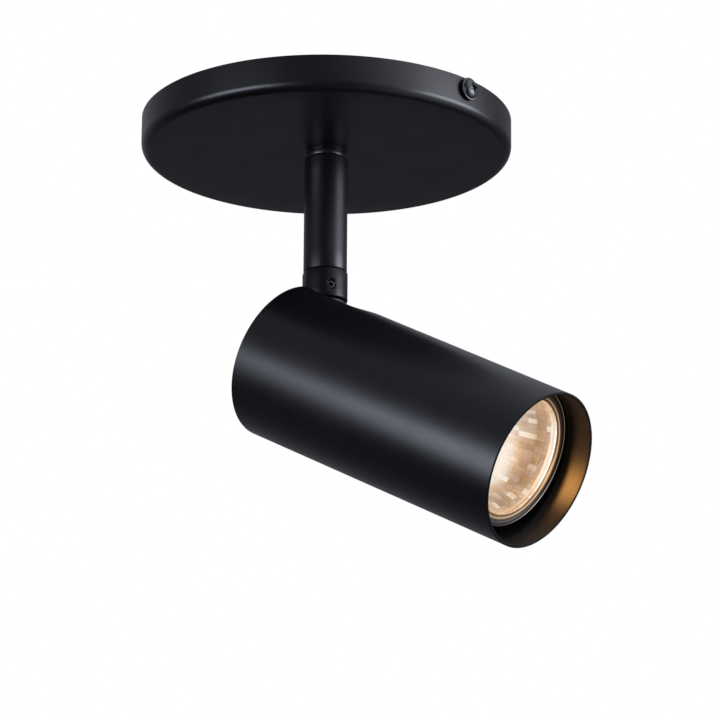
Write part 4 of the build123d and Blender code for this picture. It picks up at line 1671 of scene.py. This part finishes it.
    def filament(self) -> bpy.types.Object:
        """Models the coiled filament and the two wires that hold it.

        Returns:
            The filament.
        """
        foot = self.neck_front - self.neck_length + self.capsule_length * 0.3
        centre = foot + self.capsule_length * 0.42
        coil_radius, half, turns, wire = 0.62, 2.4, 9, 0.13
        route = [Vector((0, -half, foot - centre))]
        steps = turns * 16
        for i in range(steps + 1):
            turn = 2 * math.pi * turns * i / steps
            along = -half + 2 * half * i / steps
            route.append(Vector((coil_radius * math.cos(turn), along, coil_radius * math.sin(turn))))
        route.append(Vector((0, half, foot - centre)))
        curve = bpy.data.curves.new("filament_route", "CURVE")
        curve.dimensions, curve.bevel_depth, curve.bevel_resolution = "3D", wire * MM, 2
        line = curve.splines.new("POLY")
        line.points.add(len(route) - 1)
        for point, place in zip(line.points, route):
            point.co = (*(place + Vector((0, 0, centre))) * MM, 1)
        drawn = bpy.data.objects.new("filament_route", curve)
        bpy.context.scene.collection.objects.link(drawn)
        Bench.pick(drawn)
        bpy.ops.object.convert(target="MESH")
        piece = bpy.context.active_object
        piece.name = piece.data.name = "lamp_coil"
        return Bench.set_down(Bench.smooth(piece, 60), self.frame)

    def build(self, finishes: Finishes) -> None:
        """Builds and dresses the lamp.

        Args:
            finishes: the light's finishes.
        """
        bowl = self.bowl(finishes)
        finish_piece(bowl, Body.LAMP, finishes.mirror, ["lamp_reflector"])
        glass = self.glass(finishes)
        finish_piece(glass, Body.LAMP, finishes.clear_glass, ["lamp_front_glass"])
        finish_piece(self.base(), Body.LAMP, finishes.ceramic, ["lamp_base"])
        finish_piece(self.capsule(), Body.LAMP, finishes.quartz, ["lamp_capsule"])
        finish_piece(self.filament(), Body.LAMP, finishes.filament, ["lamp_filament"])


@dataclass
class HiddenParts:
    """The frame's own nodes that keep their shape and get a finish."""

    nodes: dict[str, bpy.types.Object]

    def dress(self, finishes: Finishes) -> None:
        """Gives each its finish.

        Args:
            finishes: the light's finishes.
        """
        groups = {
            finishes.zinc: ["mounting_strap", "earth_screw", "clamp_screws", "block_screw", "stem_nipple",
                            "toothed_washer", "stem_lock_nut", "bulkhead", "pivot_bracket",
                            "bracket_rivets", "pivot_bolt", "pivot_nut", "holder_screws"],
            finishes.spring: ["spring_washers"],
            finishes.black_steel: ["arm_set_screw"],
            finishes.brass: ["terminal_clamps", "holder_contacts"],
            finishes.nickel: ["lamp_pins"],
            finishes.nylon: ["terminal_block", "wire_bush"],
            finishes.fibre: ["friction_washers"],
            finishes.ceramic: ["lamp_holder"],
        }
        for material, names in groups.items():
            for name in names:
                node = self.nodes[name]
                node.data.materials.clear()
                node.data.materials.append(material)
                Bench.smooth(node, 30)
                log.info("%s keeps its shape and gets %s", name, material.name)


# --------------------------------------------------------------------------- studio


@dataclass(frozen=True)
class Softbox:
    """One area lamp that faces the light; angles in degrees, sizes in metres."""

    name: str
    azimuth: float
    elevation: float
    width: float
    height: float
    radiance: float
    colour: Colour
    distance: float = 1.0


@dataclass(frozen=True)
class Glimmer:
    """A soft patch of the studio's surroundings, as the paint mirrors it."""

    azimuth: float
    elevation: float
    level: float
    tightness: float


def outwards(azimuth: float, elevation: float) -> Vector:
    """The direction of a place round the light.

    Args:
        azimuth: in degrees, 0 for the front.
        elevation: in degrees.

    Returns:
        A unit vector.
    """
    turn, rise = math.radians(azimuth), math.radians(elevation)
    return Vector((math.sin(turn) * math.cos(rise), -math.cos(turn) * math.cos(rise), math.sin(rise)))


@dataclass
class Studio:
    """Camera, lamps and surroundings."""

    azimuth: float = 31.81
    elevation: float = -17.52
    roll: float = 0.418
    distance: float = 1513.9
    target: tuple[float, float, float] = (10.52, 6.53, -87.8)
    lens: float = 218.6
    boxes: tuple[Softbox, ...] = (
        Softbox("box_left", -21.4, -5.8, 0.746, 0.443, 5.98, (0.92, 0.97, 1.15)),
        Softbox("box_right", 109.5, 3.9, 0.709, 0.459, 8.83, (0.95, 0.98, 1.10)),
    )
    glimmers: tuple[Glimmer, ...] = (
        Glimmer(31.8, 90.0, 0.32, 3.0), Glimmer(211.8, 5.0, 0.105, 6.0), Glimmer(211.8, 45.0, 0.23, 5.0),
        Glimmer(-108.2, 10.0, 0.20, 6.0), Glimmer(-33.2, 45.0, 0.12, 8.0),
        Glimmer(96.8, 45.0, 2.25, 8.0), Glimmer(111.8, -30.0, 1.0, 8.0),
    )

    def camera(self) -> None:
        """Sets up the camera where the photograph was taken from."""
        azimuth = math.radians(self.azimuth)
        back = outwards(self.azimuth, self.elevation)
        right = Vector((math.cos(azimuth), math.sin(azimuth), 0))
        up = back.cross(right)
        roll = math.radians(self.roll)
        side = right * math.cos(roll) + up * math.sin(roll)
        top = back.cross(side)
        place = Vector(self.target) * MM + back * self.distance * MM
        turn = Matrix((side, top, back)).transposed().to_4x4()
        data = bpy.data.cameras.new("camera")
        data.lens, data.sensor_width = self.lens, 36.0
        data.clip_start, data.clip_end = 0.05, 30.0
        cam = bpy.data.objects.new("camera", data)
        cam.matrix_world = Matrix.Translation(place) @ turn
        bpy.context.scene.collection.objects.link(cam)
        bpy.context.scene.camera = cam

    def lamps(self) -> None:
        """Hangs the softboxes."""
        centre = Vector(self.target) * MM
        for box in self.boxes:
            back = outwards(box.azimuth, box.elevation)
            data = bpy.data.lights.new(box.name, "AREA")
            data.shape, data.size, data.size_y = "RECTANGLE", box.width, box.height
            data.energy, data.color = math.pi * box.width * box.height * box.radiance, box.colour
            lamp = bpy.data.objects.new(box.name, data)
            lamp.location = centre + back * box.distance
            lamp.rotation_euler = back.to_track_quat("Z", "Y").to_euler()
            bpy.context.scene.collection.objects.link(lamp)

    def background(self) -> None:
        """White to the eye and through glass, and a dim studio to everything else."""
        world = bpy.data.worlds.new("studio")
        bpy.context.scene.world = world
        world.use_nodes = True
        board = Board.on(world.node_tree)
        way = board.node("ShaderNodeTexCoord", output="Generated")
        glow = board.number(0.0)
        for patch in self.glimmers:
            facing = board.node("ShaderNodeVectorMath", {"operation": "DOT_PRODUCT"},
                                {0: way, 1: outwards(patch.azimuth, patch.elevation)}, "Value")
            glow = glow + ((facing - 1.0) * patch.tightness).apply("EXPONENT") * patch.level
        eye = board.node("ShaderNodeLightPath", output="Is Camera Ray")
        glass = board.node("ShaderNodeLightPath", output="Is Transmission Ray")
        seen = eye.apply("MAXIMUM", glass)
        tint = board.blend(seen, (0.93, 0.975, 1.12), (1.0, 1.0, 1.0))
        strength = seen + glow * (1.0 - seen)
        light = board.node("ShaderNodeBackground", None, {"Color": tint, "Strength": strength})
        out = board.tree.nodes.new("ShaderNodeOutputWorld")
        board.tree.links.new(light.socket, out.inputs["Surface"])

    def build(self) -> None:
        """Sets the whole studio up."""
        bpy.context.scene.view_settings.view_transform = "Standard"
        self.camera()
        self.lamps()
        self.background()


# --------------------------------------------------------------------------- main


def main() -> None:
    """Loads the frame and builds the light round it."""
    logging.basicConfig(level=logging.INFO, format="%(message)s")
    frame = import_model()
    joints = {joint["name"]: joint for joint in frame["joints"]}
    pivot = Vector(joints["tilt"]["pos_m"])
    axis = Vector(joints["lamp_twist"]["axis"]).normalized()
    down = Vector((0, 1, 0)).cross(axis)
    turn = Matrix((down, Vector((0, 1, 0)), axis)).transposed().to_4x4()
    tube_frame = Matrix.Translation(pivot) @ turn
    lamp_back = Vector(joints["lamp_twist"]["pos_m"])
    lamp = Lamp(Matrix.Identity(4))
    lamp.frame = Matrix.Translation(lamp_back + axis * lamp.length * MM) @ turn
    Studio().build()
    finishes = Finishes(lamp)
    Canopy().build(finishes)
    Stem().build(finishes)
    Arm(pivot.z / MM).build(finishes)
    Housing(tube_frame).build(finishes)
    lamp.build(finishes)
    HiddenParts(frame["nodes"]).dress(finishes)
    Bench.clear()


if __name__ == "__main__":
    main()
